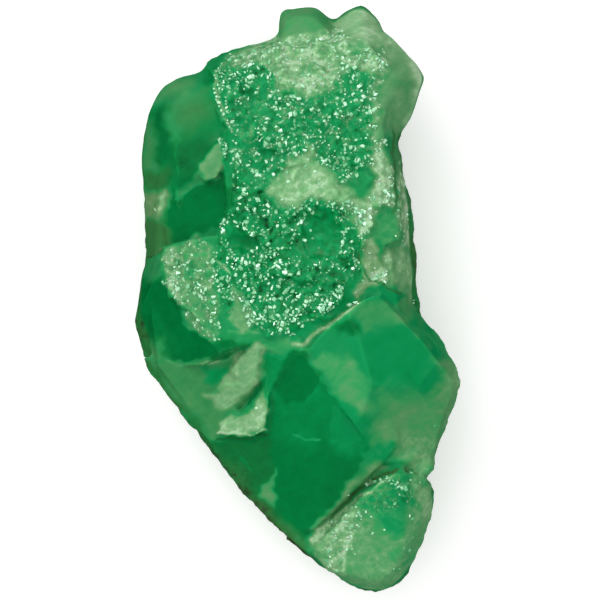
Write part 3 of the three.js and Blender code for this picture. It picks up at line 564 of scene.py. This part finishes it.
# %% The wall and the knobs at the far end
FAR_END = [
    ("right crystal top", 0.84, 0, 0, 0.6, [(9, 26.4), (9, 24), (12, 21), (17, 24)]),
    ("right crystal top left", 0.7, 0, 0, 0.5, [(9.8, 24.4), (9, 23), (8.2, 20), (7.9, 16), (9.9, 16.6),
     (10.9, 20), (11.2, 23.4)]),
    ("right crystal top right", 0.97, 0, 0, 0.9, [(11.4, 24), (11.4, 21), (10.9, 19), (10.2, 17), (17, 16),
     (17, 23)]),
    ("dark strip", 0.58, 0.5, 0.4, 0.9, [(9.5, 17), (12.4, 17), (12.4, 13), (9.7, 13)]),
    ("right wall", 1, 0.22, 0.95, 0.9, [(9.8, 13), (12.4, 13), (12.4, 4.6), (10.4, 5), (9.9, 9)]),
    ("dark facet", 0.5, 0.1, 0.3, 0.5, [(7.6, 9.1), (9.9, 9.2), (10.2, 5.2), (8.6, 4.6), (7.8, 6)]),
    ("pale facet", 0.82, 0.1, 0.3, 0.5, [(8.6, 5), (10.4, 5.2), (12.2, 4), (12.2, 0.8), (9.4, 1.8),
     (8.4, 3)]),
    ("brown patch", 0.84, 0.42, 0.4, 0.25, [(6.2, 6.2), (7.4, 6), (8.6, 3), (8.4, 1.6), (6.8, 1.2),
     (6.2, 0.2), (5.6, 0.6), (6.6, 3)]),
    ("its bright end", 1, 0.1, 0.6, 0.3, [(7.4, 2.9), (8.6, 3), (9, 1.6), (7.2, 1.6)]),
    ("flat knob", 0.58, 0.2, 0, 0.25, [(-2.4, 28.8), (2, 30), (4, 27.6), (2.6, 26.6), (0.8, 26.8),
     (-0.4, 26), (-2.4, 26.4)]),
    ("round knob", 0.88, 0, 0.1, 0.5, [(3.4, 27.8), (6, 30), (9.4, 28), (10, 25.6), (8, 25), (5, 26)]),
]
PATCHES = UPPER_LEFT + LOWER_LEFT + MIDDLE + RIGHT + END_LUMP + SUGAR + FAR_END
print("far end:", len(FAR_END), "all:", len(PATCHES), "patches")

# %% [markdown]
# ## Healed cracks, painted highlights and shadows, and scratches
# The pale lines along the crest, the edges and the rim of the ledge are painted highlights, where an edge
# catches the light. A crack that healed is milky, and one that is open is darker and olive. The dark lines
# under the ledge and by the pocket are painted shadow, and the dark olive line along the crevice is painted
# shade. They are painted like the patches, as lines with a width. Each row has a name, milk, stain, grit, the
# width in mm, and its corners.

# %% Lines
LINES = [
    # Painted highlights: the pale crest and its thick end, where the ridge catches the light.
    ("crest", 1, 0.1, 0.2, 0.3, [(0.8, -4.1), (2, -3.3), (4.8, -1.2), (6, -0.3)]),
    ("thick end of the crest", 0.9, 0.1, 0.2, 0.5, [(-0.4, -4.4), (0.5, -4.3), (1.6, -3.6)]),
    # Painted highlight along the lower edge of the left band, brightest in its middle piece.
    ("under the left band", 0.64, 0.1, 0, 0.22, [(-13.2, -6), (-12, -6.6), (-10.8, -6.2), (-9.4, -6.4),
     (-6.8, -5.9), (-4.5, -4.5)]),
    ("bright piece of it", 0.85, 0, 0, 0.25, [(-9.4, -6.5), (-8.6, -6.2), (-7.8, -6)]),
    ("inner side of the block", 0.2, 0, 0.3, 0.16, [(-12.1, 16.2), (-12, 14.5), (-11.9, 12.5)]),
    ("left edge of the sugar", 0.74, 0, 0.6, 0.3, [(-8.2, 22.8), (-7.9, 19.8), (-7.2, 18.2), (-6.5, 16.6)]),
    # Painted highlight along the upper edge of the end lump.
    ("edge of the end lump", 0.9, 0.1, 0.3, 0.25, [(1.2, -24), (2.1, -23.1), (4.1, -21.4), (6.1, -19.7),
     (8.6, -18), (9.6, -17.2)]),
    ("streak on the end lump", 1, 0.05, 0.2, 0.26, [(5, -24.2), (4.7, -25.6), (4.5, -27)]),
    ("second streak", 0.74, 0, 0.2, 0.22, [(8.6, -24.4), (10.4, -23.8), (12.2, -22.4)]),
    ("third streak", 0.72, 0, 0.1, 0.2, [(6.8, -24.8), (7.4, -26.4), (7.2, -28)]),
    ("scratch", 0.46, 0, 0, 0.2, [(-0.5, -13.4), (0.8, -13.75), (2.2, -13.9)]),
    ("second scratch", 0.26, 0, 0, 0.16, [(-5.6, -15.5), (-4.5, -17.1)]),
    ("third scratch", 0.34, 0, 0, 0.16, [(4.2, -10.9), (5, -13.2)]),
    ("edge of the lens", 0.3, 0, 0, 0.14, [(2.3, -7.5), (1.9, -8.9), (0.8, -10.1)]),
    # Painted highlight on the rim of the ledge, above its painted shadow.
    ("rim of the ledge", 1, 0, 0.3, 0.22, [(-8, -13.2), (-7, -13.4), (-5.6, -13.1), (-4.3, -13.5),
     (-3, -12.8)]),
    ("ridge over the shoulder", 0.85, 0, 0.3, 0.22, [(-8.3, 4.2), (-7.4, 3.4), (-6.6, 2.4)]),
    ("under the sugar", 0.59, 0, 0.2, 0.25, [(-6.8, -3.1), (-5.2, -3.2), (-3.6, -3.3)]),
    # Painted shadow under the edge of the left band, by the pocket.
    ("painted shadow by the pocket", 0.04, 0.6, 0, 0.3, [(-15.2, 4.2), (-13.4, 5)]),
    ("crack beside the wall", 0.11, 0.6, 0, 0.2, [(9.5, 16.8), (9.6, 13), (9.8, 10.5), (9.5, 8.6)]),
    ("crack over the dark triangle", 0.13, 0.45, 0, 0.2, [(6, 4.6), (7, 2), (8.6, 1.5), (10.2, 0.6)]),
    # Painted shade in the crevice before the end lump, dark olive.
    ("crevice", 0, 0.7, 0, 0.25, [(3.4, -21.7), (5.7, -19.3), (7.8, -17.7), (9.8, -16.8)]),
    # Painted shadow under the ledge.
    ("foot of the ledge", 0.04, 0.1, 0, 0.25, [(-8.2, -13.8), (-5.6, -13.8), (-3, -13.4)]),
]
print("lines:", len(LINES))

# %% [markdown]
# ## Walls in painted shade, the rough underside, and threads in the sugar
# The sides of such a lump are rougher than its top, and they are painted darker and a little olive: this is
# painted shade, for the walls get less light than the top, mixed with some stain. Below the widest line, the
# girdle, it is a rough break in deeper painted shade. Only the outer side of the right crystal gets no
# painted shade, and the rounded crystals get less of it. The girdle isn't level: it lies a little over 9 mm
# up, higher along the right wall, and lower at the end lump and the knobs. In the sugar the frosted grain
# runs in thin threads round clearer hollows, which the absolute value of a noise draws well: it is near 0
# along winding lines.

# %% The girdle
GIRDLE = 9.4


def girdle_of(level):
    """The height in mm where the stone is widest, below which it turns under."""
    x, y = level.T
    right = smooth_step(x / 4) * smooth_step((y + 17) / 3)
    wall = 0.5 * smooth_step(y + 1) + 0.8 * smooth_step(y + 1) * smooth_step(14 - y)
    foot = 0.5 * smooth_step((2 - x) / 3) * smooth_step((-8 - y) / 3)
    lump = 1.6 * smooth_step((x - 1) / 3) * smooth_step((-19 - y) / 3)
    return GIRDLE + right * (0.3 + wall) + foot - lump - 1.2 * smooth_step((y - 23) / 3)


print("girdle at the right wall, mm:", girdle_of(np.array([[10.0, 8.0]])).round(1))

# %% Milk, stain and grit of every point
# The one side that gets no painted wall shade and stays as bright as the top.
LIT_SIDES = [
    [(8, 1.5), (9.2, -0.9), (11.7, -3.6), (13.9, -6.4), (15, -8.4), (13, -15), (17.5, -15), (17.5, -4),
     (14.4, -0.6), (12, 0.8)],
]
# Milk, stain and grit where no patch lies.
PLAIN = [0.34, 0.10, 0.12]
LINE_EDGE = 0.2
THREAD_SIZE = 1.0
# How far a normal still points up where a wall begins, and where the underside begins.
WALL_RISE = 0.28
UNDER_RISE = -0.1


def wobbled(points):
    """The points moved about by a few tenths of a millimetre, so that no outline is ruler straight."""
    x, y = points.T
    sway = 0.20 * np.sin(1.9 * y + 1.3 * np.sin(1.1 * x)) + 0.10 * np.sin(5.3 * y + 2.0 * x)
    lift = 0.20 * np.sin(2.1 * x + 1.1 * np.sin(1.4 * y)) + 0.10 * np.sin(4.7 * x - 2.6 * y)
    return points + np.stack([sway, lift], axis=1)


def lay(values, share, over):
    """Lays new milk, stain and grit over the old ones, by the share at each point."""
    values += share[:, None] * (over - values)


def paint_outlines(level):
    """milk, stain and grit from the patches and lines, for (x, y) in mm."""
    flat = wobbled(level)
    values = np.tile(PLAIN, (len(level), 1))
    for _, milk, stain, grit, edge, outline in PATCHES:
        lay(values, smooth_step(0.5 + depth_inside(flat, outline) / edge / 2), np.array([milk, stain, grit]))
    for _, milk, stain, grit, width, line in LINES:
        inside = width / 2 - line_distance((level + flat) / 2, line)
        lay(values, smooth_step(0.5 + inside / LINE_EDGE), np.array([milk, stain, grit]))
    return values


def paint(points, normals):
    """milk, stain and grit of points in metres: the outlines, then threads, painted shade on walls and foot,
    and underside.
    """
    level = points[:, :2] / MM
    rise = normals[:, 2]
    values = paint_outlines(level)
    bend = np.abs(noise_of(points, THREAD_SIZE))
    threads = smooth_step(1.3 - bend / 0.12)
    hollows = smooth_step((bend - 0.25) / 0.3)
    values[:, 0] += values[:, 2] * (0.26 * threads - 0.13 * hollows)
    cloudy = noise_of(points, 3.5)
    # Painted shade: steep walls get a darker, olive tone, except the lit sides and, in part, the rounded
    # crystals.
    steep = smooth_step((WALL_RISE - rise) / 0.3)
    lit = np.maximum(0.7 * inside_any(points, ROUNDED), inside_any(points, LIT_SIDES, 0.4))
    wall_grit = np.maximum(values[:, 2], 0.35 + 0.5 * cloudy)
    wall = np.stack([0.16 + 0.5 * cloudy, 0.35 - 0.3 * cloudy, wall_grit], axis=1)
    lay(values, 0.85 * (1 - lit) * steep, wall)
    # Painted shade: below the girdle the tone is darker still, with some stain.
    girdle_shade = smooth_step((girdle_of(level) + 1.2 * cloudy - points[:, 2] / MM) / 1.1 + 0.5)
    foot = np.stack([0.01 + 0.25 * cloudy, 0.38 - 0.4 * cloudy, 0.3 + 0.4 * cloudy], axis=1)
    lay(values, 0.85 * girdle_shade, foot)
    below = smooth_step((UNDER_RISE - rise) / 0.3)
    broken = np.stack([0.50 + 0.6 * cloudy, 0.15 + 0.4 * noise_of(points, 6), 0.5 + cloudy], axis=1)
    lay(values, below, broken)
    return np.clip(values, 0, 1)


painted = paint(points_of(stone.data), points_of(stone.data, "normal"))
print("mean milk, stain, grit:", painted.mean(axis=0).round(2))

# %% [markdown]
# ## Waves, ripples and grain
# Textures of real size push the skin in and out along its normals. Slow waves of 5 mm and shell-like ripples
# of 1.6 mm, as on broken glass, go everywhere. Where it is sugary, hollows of 1.8 mm and a grain of 0.8 mm
# are added, weighed by grit. The walls are splintered, except on the crystals whose sides are smooth, and
# below the girdle the break is coarse. The depth of a form is about a twentieth of its size on the crystal
# faces, a seventh in the sugar, and a quarter or more where the stone was torn from the vein.

# %% Push the skin in and out
SMOOTH_NAMES = ("right crystal top", "flat knob", "round knob", "upper left block", "left band")
SMOOTH_SIDES = [patch[-1] for patch in PATCHES if patch[0].startswith(SMOOTH_NAMES)]


def push(target, name, kind, size, strength, group="", **settings):
    """Moves the surface in and out by a texture of that size."""
    texture = bpy.data.textures.new(name, kind)
    texture.noise_scale = size
    for key, value in settings.items():
        setattr(texture, key, value)
    apply_modifier(target, "DISPLACE", texture=texture, texture_coords="LOCAL", strength=strength,
                   mid_level=0.5, vertex_group=group)


weigh(stone, "grit", painted[:, 2])
steep = smooth_step((0.35 - points_of(stone.data, "normal")[:, 2]) / 0.3)
weigh(stone, "walls", steep * (1 - 0.85 * inside_any(points_of(stone.data), SMOOTH_SIDES)))
push(stone, "waves", "CLOUDS", 5 * MM, 0.30 * MM)
push(stone, "ripples", "CLOUDS", 1.6 * MM, 0.08 * MM, noise_depth=2)
push(stone, "hollows", "CLOUDS", 1.8 * MM, 0.28 * MM, "grit")
push(stone, "grain", "VORONOI", 0.8 * MM, 0.10 * MM, "grit")
under = girdle_of(points_of(stone.data)[:, :2] / MM) - points_of(stone.data)[:, 2] / MM
weigh(stone, "base", smooth_step((under - 0.4) / 2))
push(stone, "broken base", "VORONOI", 4.5 * MM, 1.1 * MM, "base")
push(stone, "splinters", "CLOUDS", 1.1 * MM, 0.42 * MM, "walls", noise_depth=2)
print("textures:", [t.name for t in bpy.data.textures])

# %% [markdown]
# ## Spend the points where the eye looks
# The skin has over 300,000 triangles, which is more than one piece should have, and many of them face the
# table. A decimate modifier with a vertex group thins those first and spares the top. The textures have also
# pushed a few points through the table, which a stone at rest can't have, so they go back to height 0.

# %% Thin the underside
KEPT_SHARE = 0.56

weigh(stone, "underneath", 1 - smooth_step(points_of(stone.data, "normal")[:, 2] * 4 + 1))
apply_modifier(stone, "DECIMATE", ratio=KEPT_SHARE, vertex_group="underneath", vertex_group_factor=1.0)
resting = points_of(stone.data)
resting[:, 2] = np.maximum(resting[:, 2], 0)
move_points(stone.data, resting)
stone.vertex_groups.clear()
print("stone:", sum(len(p.vertices) - 2 for p in stone.data.polygons), "triangles")

# %% [markdown]
# ## Numbers for the material
# The points have moved and there are fewer of them, so they are painted again, and each number is written to
# the mesh as an attribute, which a material can read wherever the piece goes. A fourth one, worn, is high on
# edges and on the rounded crystals, where handling has dulled the polish.

# %% Write the attributes
SHARP_BEND = 0.04
CRISP_ANGLE = 38


def bend_of(mesh):
    """How sharply the surface bends at each point: 0 on a flat face, about 0.1 and more on an edge."""
    ends = np.empty(len(mesh.edges) * 2, int)
    mesh.edges.foreach_get("vertices", ends)
    a, b = ends.reshape(-1, 2).T
    facing = points_of(mesh, "normal")
    total = facing.copy()
    for start, end in ((a, b), (b, a)):
        for axis in range(3):
            total[:, axis] += np.bincount(start, facing[end, axis], len(facing))
    count = 1 + np.bincount(ends, minlength=len(facing))
    return 1 - np.linalg.norm(total, axis=1) / count


def keep_attribute(mesh, name, values):
    """Writes one number per point to the mesh, for its material."""
    layer = mesh.attributes.get(name) or mesh.attributes.new(name, "FLOAT", "POINT")
    layer.data.foreach_set("value", np.ascontiguousarray(values, dtype=np.float32))


handled = bend_of(stone.data) / SHARP_BEND + 0.7 * inside_any(points_of(stone.data), ROUNDED)
keep_attribute(stone.data, "worn", np.clip(handled, 0, 1))
painted = paint(points_of(stone.data), points_of(stone.data, "normal"))
for name, column in (("milk", 0), ("stain", 1), ("grit", 2)):
    keep_attribute(stone.data, name, painted[:, column])
bpy.ops.object.shade_smooth_by_angle(angle=math.radians(CRISP_ANGLE))
print("mean milk, stain, grit:", painted.mean(axis=0).round(2))

# %% [markdown]
# ## Beryl: how milky it is here
# The finish is cloudy green beryl: glassy where a crystal face grew, satin where it is frosted. Inside it
# hang veils, soft clouds of 2 to 3 mm. Finer ones are combed in one direction by the growth of the crystal,
# and the frost itself is mottled at under a millimetre, most of all in the sugar. Three noises on Object
# coordinates add these to the painted milk. All are stretched upwards, or a steep wall would show them as
# level layers, like wood grain. Veils and combed streaks are weaker where the stone is clear.

# %% Veils, combed streaks and mottle
beryl, beryl_out = new_material("milky_green_beryl")
tree = beryl.node_tree
place = node(tree, "ShaderNodeTexCoord").outputs["Object"]
milk = node(tree, "ShaderNodeAttribute", attribute_name="milk").outputs["Fac"]
stain = node(tree, "ShaderNodeAttribute", attribute_name="stain").outputs["Fac"]
grit = node(tree, "ShaderNodeAttribute", attribute_name="grit").outputs["Fac"]
worn = node(tree, "ShaderNodeAttribute", attribute_name="worn").outputs["Fac"]
tall = node(tree, "ShaderNodeMapping", {"Vector": place, "Scale": (1.0, 1.0, 0.45)}).outputs[0]
turned = node(tree, "ShaderNodeMapping", {"Vector": place, "Rotation": (0, 0, math.radians(35)),
              "Scale": (5.0, 1.0, 4.0)}, vector_type="TEXTURE").outputs[0]


def swing(vector, scale, detail, reach, **more):
    """A noise with that many waves per metre, as a number from -reach to reach."""
    waves = node(tree, "ShaderNodeTexNoise", {"Vector": vector, "Scale": scale, "Detail": detail,
                 "Roughness": 0.6, **more})
    return node(tree, "ShaderNodeMapRange", {"Value": waves.outputs["Fac"], "From Min": 0.3, "From Max": 0.7,
                "To Min": -reach, "To Max": reach}).outputs[0]


veils = swing(tall, 420, 4, 0.09, Distortion=0.8)
mottle = swing(tall, 1500, 3, 0.06)
combed = swing(turned, 1300, 3, 0.06)
sugary = node(tree, "ShaderNodeMath", {0: grit, 1: 3.6, 2: 0.4}, operation="MULTIPLY_ADD").outputs[0]
frost = node(tree, "ShaderNodeMath", {0: mottle, 1: sugary, 2: milk}, operation="MULTIPLY_ADD").outputs[0]
unclear = node(tree, "ShaderNodeMapRange", {"Value": milk, "From Min": 0.1, "From Max": 0.5,
               "To Min": 0.25, "To Max": 1.0}).outputs[0]
varied = node(tree, "ShaderNodeMath", {0: veils, 1: combed}, operation="ADD").outputs[0]
cloud = node(tree, "ShaderNodeMath", {0: varied, 1: unclear, 2: frost}, operation="MULTIPLY_ADD").outputs[0]
print("nodes so far:", len(tree.nodes))

# %% [markdown]
# ## Beryl: its colour
# A colour ramp turns milk into colour. Clear emerald is a deep bluish green, because light goes far into it.
# With more and more tiny cracks the light comes back sooner, so it gets paler and greyer, up to the colour of
# green soap. Where there is stain, the olive of dirt from the vein is mixed in.

# %% Colour
# The darkest tone, at 0, is reached mostly by painted shade: on the walls, under the girdle and the ledge,
# and in the crevice.
TONES = [(0.0, "#003f20"), (0.05, "#006c33"), (0.14, "#007a3c"), (0.23, "#008645"), (0.30, "#009050"),
         (0.38, "#069354"), (0.54, "#389d5c"), (0.66, "#559c63"), (0.80, "#70aa73"), (0.92, "#8abb87"),
         (1.0, "#a8cfa4")]
VEIN_DIRT = "#5a6b40"

ramp = node(tree, "ShaderNodeValToRGB", {"Fac": cloud})
while len(ramp.color_ramp.elements) < len(TONES):
    ramp.color_ramp.elements.new(0.5)
for element, (at, tone) in zip(ramp.color_ramp.elements, TONES):
    element.position = at
    element.color = linear(tone)
dirt = node(tree, "ShaderNodeMath", {0: stain, 1: 0.8}, operation="MULTIPLY").outputs[0]
mixed = node(tree, "ShaderNodeMix", {"Factor": dirt, "A": ramp.outputs["Color"], "B": linear(VEIN_DIRT)},
             data_type="RGBA").outputs["Result"]
print("tones:", len(ramp.color_ramp.elements), "mixed as", mixed.type)

# %% [markdown]
# ## Beryl: polish, grain and depth
# A grown face of beryl is nearly as glossy as glass, and frost, wear and sugar dull it, so roughness runs
# from 0.22 to 0.75. The finest sugar, under half a millimetre, is too small for the mesh and is a bump. This
# stone is cloudy: nothing can be seen through it, but its edges glow a little, because light wanders about a
# millimetre inside it. That is subsurface scattering, green reaching furthest, and not transmission. The IOR
# is that of beryl. The specular level is halved, because cracks that reach the surface break the gloss.

# %% Surface
BERYL_IOR = 1.58

polish = node(tree, "ShaderNodeMapRange", {"Value": milk, "From Min": 0.1, "From Max": 0.9,
              "To Min": 0.22, "To Max": 0.45}).outputs[0]
scuffed = node(tree, "ShaderNodeMath", {0: worn, 1: grit}, operation="MAXIMUM").outputs[0]
rough = node(tree, "ShaderNodeMath", {0: scuffed, 1: 0.3, 2: polish}, operation="MULTIPLY_ADD").outputs[0]
fine = node(tree, "ShaderNodeTexNoise", {"Vector": place, "Scale": 2600, "Detail": 2, "Roughness": 0.5})
bump_depth = node(tree, "ShaderNodeMath", {0: grit, 1: 0.10 * MM}, operation="MULTIPLY").outputs[0]
bump = node(tree, "ShaderNodeBump", {"Height": fine.outputs["Fac"], "Distance": bump_depth, "Strength": 1.0})
surface = node(tree, "ShaderNodeBsdfPrincipled", {"Base Color": mixed, "Normal": bump.outputs[0],
               "Roughness": rough, "IOR": BERYL_IOR, "Specular IOR Level": 0.25, "Subsurface Weight": 0.6,
               "Subsurface Radius": (0.35, 1.0, 0.6), "Subsurface Scale": 1.2 * MM})
tree.links.new(surface.outputs[0], beryl_out.inputs[0])
stone.data.materials.clear()
stone.data.materials.append(beryl)
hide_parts("emerald")
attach(stone, "root")
print("stone is", beryl.name)

# %% [markdown]
# ## Sugar: a few chips
# Where beryl breaks across its grain it leaves chips of 0.2 to 0.8 mm with tiny flat faces, and each face
# that mirrors a lamp is a spark. Bumps in a texture would give soft dots, so every chip is a small solid with
# real flat faces: six chips are cut from cubes with the bisect tool, and thousands of copies, each turned
# its own way, are set into the gritty parts of the stone. A chip has about ten faces, so that thousands of
# them stay light.

# %% Cut a few chips
CHIPS = 6
CUTS = 4
SEED = 7
rng = random.Random(SEED)


def cut_chip(number):
    """A unit cube with its corners cut off by flat planes."""
    bpy.ops.object.select_all(action="DESELECT")
    bpy.ops.mesh.primitive_cube_add(size=1)
    chip = bpy.context.object
    chip.name = "chip%d" % number
    bpy.ops.object.mode_set(mode="EDIT")
    for _ in range(CUTS):
        away = Vector([rng.uniform(-1, 1) for _ in range(3)]).normalized()
        bpy.ops.mesh.select_all(action="SELECT")
        bpy.ops.mesh.bisect(plane_co=away * rng.uniform(0.36, 0.50), plane_no=away, use_fill=True,
                            clear_outer=True)
    bpy.ops.mesh.select_all(action="SELECT")
    bpy.ops.mesh.normals_make_consistent(inside=False)
    bpy.ops.object.mode_set(mode="OBJECT")
    return chip


chips = [cut_chip(i) for i in range(CHIPS)]
shapes = [(points_of(c.data), [tuple(p.vertices) for p in c.data.polygons]) for c in chips]
print("chips, faces each:", [len(faces) for _, faces in shapes])
for chip in chips:
    bpy.data.objects.remove(chip)

# %% [markdown]
# ## Sugar: where the chips lie
# Sparks aren't spread evenly. They sit on the frosted threads, in clusters, and most of all in short chains
# along chipped rims, which are what the eye picks out, so those chains are written down. Flecks are smaller
# and duller and fill in between them, and crumbs are coarse and lie in the pale, frosted parts. Each kind
# goes through its places in a random order and takes those that keep their distance from the ones before.
# None lies near the table, where a chip would only fray the outline.

# %% Chains of sparks
# Each row is a reach in mm and the corners of a line in mm.
SPARK_LINES = [
    (0.22, [(-7.4, 7.4), (-7.3, 5.8), (-6.4, 4.4), (-5.8, 3.8)]),
    (0.45, [(-6.3, 3.6), (-5.5, 3.6)]),
    (0.45, [(-2.8, 5), (-2, 4.2), (-1.9, 3.4)]),
    (0.3, [(-8.2, 2.2), (-7.7, 2)]),
    (0.3, [(-3.6, 0.2), (-2.7, 0.5), (-2.6, 1.1)]),
    (0.35, [(-6.2, 0.6), (-5.3, 0.1), (-5, -0.8)]),
    (0.25, [(-7.8, -2.5), (-7.5, -2.6)]),
    (0.25, [(-8.4, -3.6), (-7.9, -3.8)]),
    (0.4, [(4.2, 1), (3.4, -0.4), (2.6, -0.9)]),
    (0.45, [(1, -0.5), (0, -1.3), (-1, -2.2), (-2.2, -1.9), (-4.8, -1.9)]),
    (0.4, [(-1.6, -2.8), (-0.6, -3.2)]),
    (0.22, [(-7.2, 14.3), (-7.3, 15.2), (-7.6, 15.8)]),
    (0.2, [(-8, 22.8), (-7.2, 22), (-6, 22.4), (-4.6, 21.6)]),
    (0.15, [(-8.2, 21), (-7.9, 19.8), (-7.2, 18.2), (-6.5, 17)]),
    (0.22, [(7, -18.2), (9, -17.9), (10.6, -18.6)]),
    (0.55, [(5, 9.2), (6, 8.4), (6.6, 7.2)]),
    (0.3, [(8.6, 10.8), (9.3, 10.2)]),
    (0.3, [(-11.9, 4), (-12, 2.6), (-12.2, 1)]),
    (0.3, [(-10, 1.6), (-9.4, 0.2)]),
    (0.35, [(7.6, 2.2), (8.4, 2.4)]),
    (0.3, [(11.4, 0.3), (11.5, -0.4)]),
    (0.2, [(5.2, -0.4), (5.8, -0.3)]),
]
print("chains:", len(SPARK_LINES))

# %% Pick the places
LOWEST_CHIP = 10.6 * MM
CELL = 0.3 * MM


def scatter(candidates, nearest, furthest):
    """Picks candidates that keep a distance in mm, drawn from a range, from those picked before."""
    taken = {}
    chosen = []
    for i in candidates:
        p = spots[i]
        gap = rng.uniform(nearest, furthest) * MM
        reach = math.ceil(gap / CELL)
        home = tuple((p // CELL).astype(int))
        near = (taken.get((home[0] + a, home[1] + b, home[2] + c), ()) for a in range(-reach, reach + 1)
                for b in range(-reach, reach + 1) for c in range(-reach, reach + 1))
        if all((spots[j] - p) @ (spots[j] - p) >= gap * gap for group in near for j in group):
            taken.setdefault(home, []).append(i)
            chosen.append(i)
    return chosen


def shuffled(mask):
    """The numbers of the points in a mask, in a random order."""
    numbers = np.nonzero(mask)[0].tolist()
    return rng.sample(numbers, len(numbers))


spots = points_of(stone.data)
normals = points_of(stone.data, "normal")
luck = np.array([rng.random() for _ in spots])
milky, _, gritty = painted.T
high = (spots[:, 2] > LOWEST_CHIP) & (normals[:, 2] > 0.3)
in_clusters = noise_of(spots, 3.2) > -0.3
bend = np.abs(noise_of(spots, THREAD_SIZE))
on_threads = np.where(bend < 0.10, 1.0, 0.04)
on_rims = np.any([line_distance(spots[:, :2] / MM, line) < reach for reach, line in SPARK_LINES], axis=0)
threads = high & in_clusters & (luck < on_threads * gritty ** 3 * (1.2 - 0.7 * milky))
rims = high & on_rims & (luck < 0.7)
crumbly = high & (gritty > 0.5) & (milky > 0.6)
flecked = high & (bend < 0.2) & (gritty > 0.42) & (luck < np.where(milky < 0.6, 0.7, 0.2))
spark_order, crumb_order, fleck_order = shuffled(threads | rims), shuffled(crumbly), shuffled(flecked)
fleck_spots = scatter(fleck_order, 0.22, 0.44)
spark_spots = scatter(spark_order, 0.2, 0.42)
crumb_spots = scatter(crumb_order, 0.7, 1.3)
print("sparks:", len(spark_spots), "flecks:", len(fleck_spots), "crumbs:", len(crumb_spots))

# %% [markdown]
# ## Sugar: set a chip in each place
# A spark is a chip with a flat face that happens to look halfway between a lamp and the eye, so the sparks
# are turned that way on purpose, give or take two degrees. Flecks and crumbs are turned at random. All the
# chips of one kind are joined in one mesh, because thousands of loose pieces would be slow to handle. Each
# chip is stretched and has its own share of milk, which the material reads as it does on the stone.

# %% Turn and copy the chips
FLASH = [(Vector(around(*lamp)).normalized() + Vector((0, 0, 1))).normalized() for lamp in LAMPS.values()]
RIM_EXTRA = 0.04


def any_turn():
    """A turn in any direction."""
    return Euler([rng.uniform(0, 2 * math.pi) for _ in range(3)]).to_matrix()


def flashing_turn():
    """A turn whose flat top mirrors one of the lamps upwards, give or take two degrees."""
    flat = rng.choice(FLASH) + Vector([rng.gauss(0, 0.035) for _ in range(3)])
    return flat.to_track_quat("Z", "Y").to_matrix() @ Matrix.Rotation(rng.uniform(0, 2 * math.pi), 3, "Z")


def scattered_chips(name, places, small, large, lift, turning, milk_of):
    """One mesh of many chips, each with its own turn, size from small to large in mm, and share of milk."""
    all_points, all_faces, all_milk, all_stain = [], [], [], []
    count = 0
    for i in places:
        corners, faces = shapes[rng.randrange(CHIPS)]
        turn = np.array(turning())
        size = (small + (large - small) * rng.random() ** 2 + RIM_EXTRA * on_rims[i]) * MM
        stretch = np.array([1, rng.uniform(0.35, 0.85), rng.uniform(0.35, 0.7)])
        centre = spots[i] + normals[i] * size * lift
        all_points.append((corners * stretch * size) @ turn.T + centre)
        all_faces.extend(tuple(count + k for k in face) for face in faces)
        all_milk.append(np.full(len(corners), np.clip(milk_of(i), 0, 1)))
        all_stain.append(np.full(len(corners), painted[i, 1]))
        count += len(corners)
    mesh = bpy.data.meshes.new(name)
    mesh.from_pydata(np.concatenate(all_points).tolist(), [], all_faces)
    keep_attribute(mesh, "milk", np.concatenate(all_milk))
    keep_attribute(mesh, "stain", np.concatenate(all_stain))
    made = bpy.data.objects.new(name, mesh)
    bpy.context.collection.objects.link(made)
    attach(made, "root")
    print(name + ":", sum(len(p.vertices) - 2 for p in mesh.polygons), "triangles")
    return made


# Sparks get milk from 0.85 to 1, and so the palest tones: a painted glint.
sparks = scattered_chips("sugar_sparks", spark_spots, 0.16, 0.5, 0.1, flashing_turn,
                         lambda i: rng.uniform(0.85, 1.0))
crumbs = scattered_chips("sugar_crumbs", crumb_spots, 0.4, 0.8, -0.3, any_turn,
                         lambda i: painted[i, 0] + rng.gauss(0, 0.12))
flecks = scattered_chips("sugar_flecks", fleck_spots, 0.2, 0.42, -0.1, any_turn,
                         lambda i: rng.uniform(0.45, 0.85) + 0.5 * (painted[i, 0] > 0.6))

# %% [markdown]
# ## Sugar: fresh broken beryl, and painted glints
# A fresh chip is cleaner and glossier than the stone round it, so sparks and flecks get a copy of the stone's
# material with a smooth surface, no depth, as a chip is too thin for light to wander in, and lighter, cooler
# tones at the milky end. Sparks take the palest, near white, as a painted glint over the real flash of the
# lamps. Crumbs are part of the frosted ledges and keep the stone's own material.

# %% Finish of the chips
# The palest tones, near white: a painted glint on the sparks, and on the flecks in the milky parts.
GLINT_TONES = {-3: "#5db07a", -2: "#84cc99", -1: "#bdf0cb"}
FRESH_ROUGHNESS = 0.10

fresh = beryl.copy()
fresh.name = "fresh_broken_beryl"
for part in fresh.node_tree.nodes:
    if part.type == "BSDF_PRINCIPLED":
        for link in list(part.inputs["Roughness"].links):
            fresh.node_tree.links.remove(link)
        part.inputs["Roughness"].default_value = FRESH_ROUGHNESS
        part.inputs["Subsurface Weight"].default_value = 0.0
    if part.type == "VALTORGB":
        for element, tone in GLINT_TONES.items():
            part.color_ramp.elements[element].color = linear(tone)
for glossy_chips in (sparks, flecks):
    glossy_chips.data.materials.append(fresh)
crumbs.data.materials.append(beryl)
print("materials:", [m.name for m in bpy.data.materials if m.users])
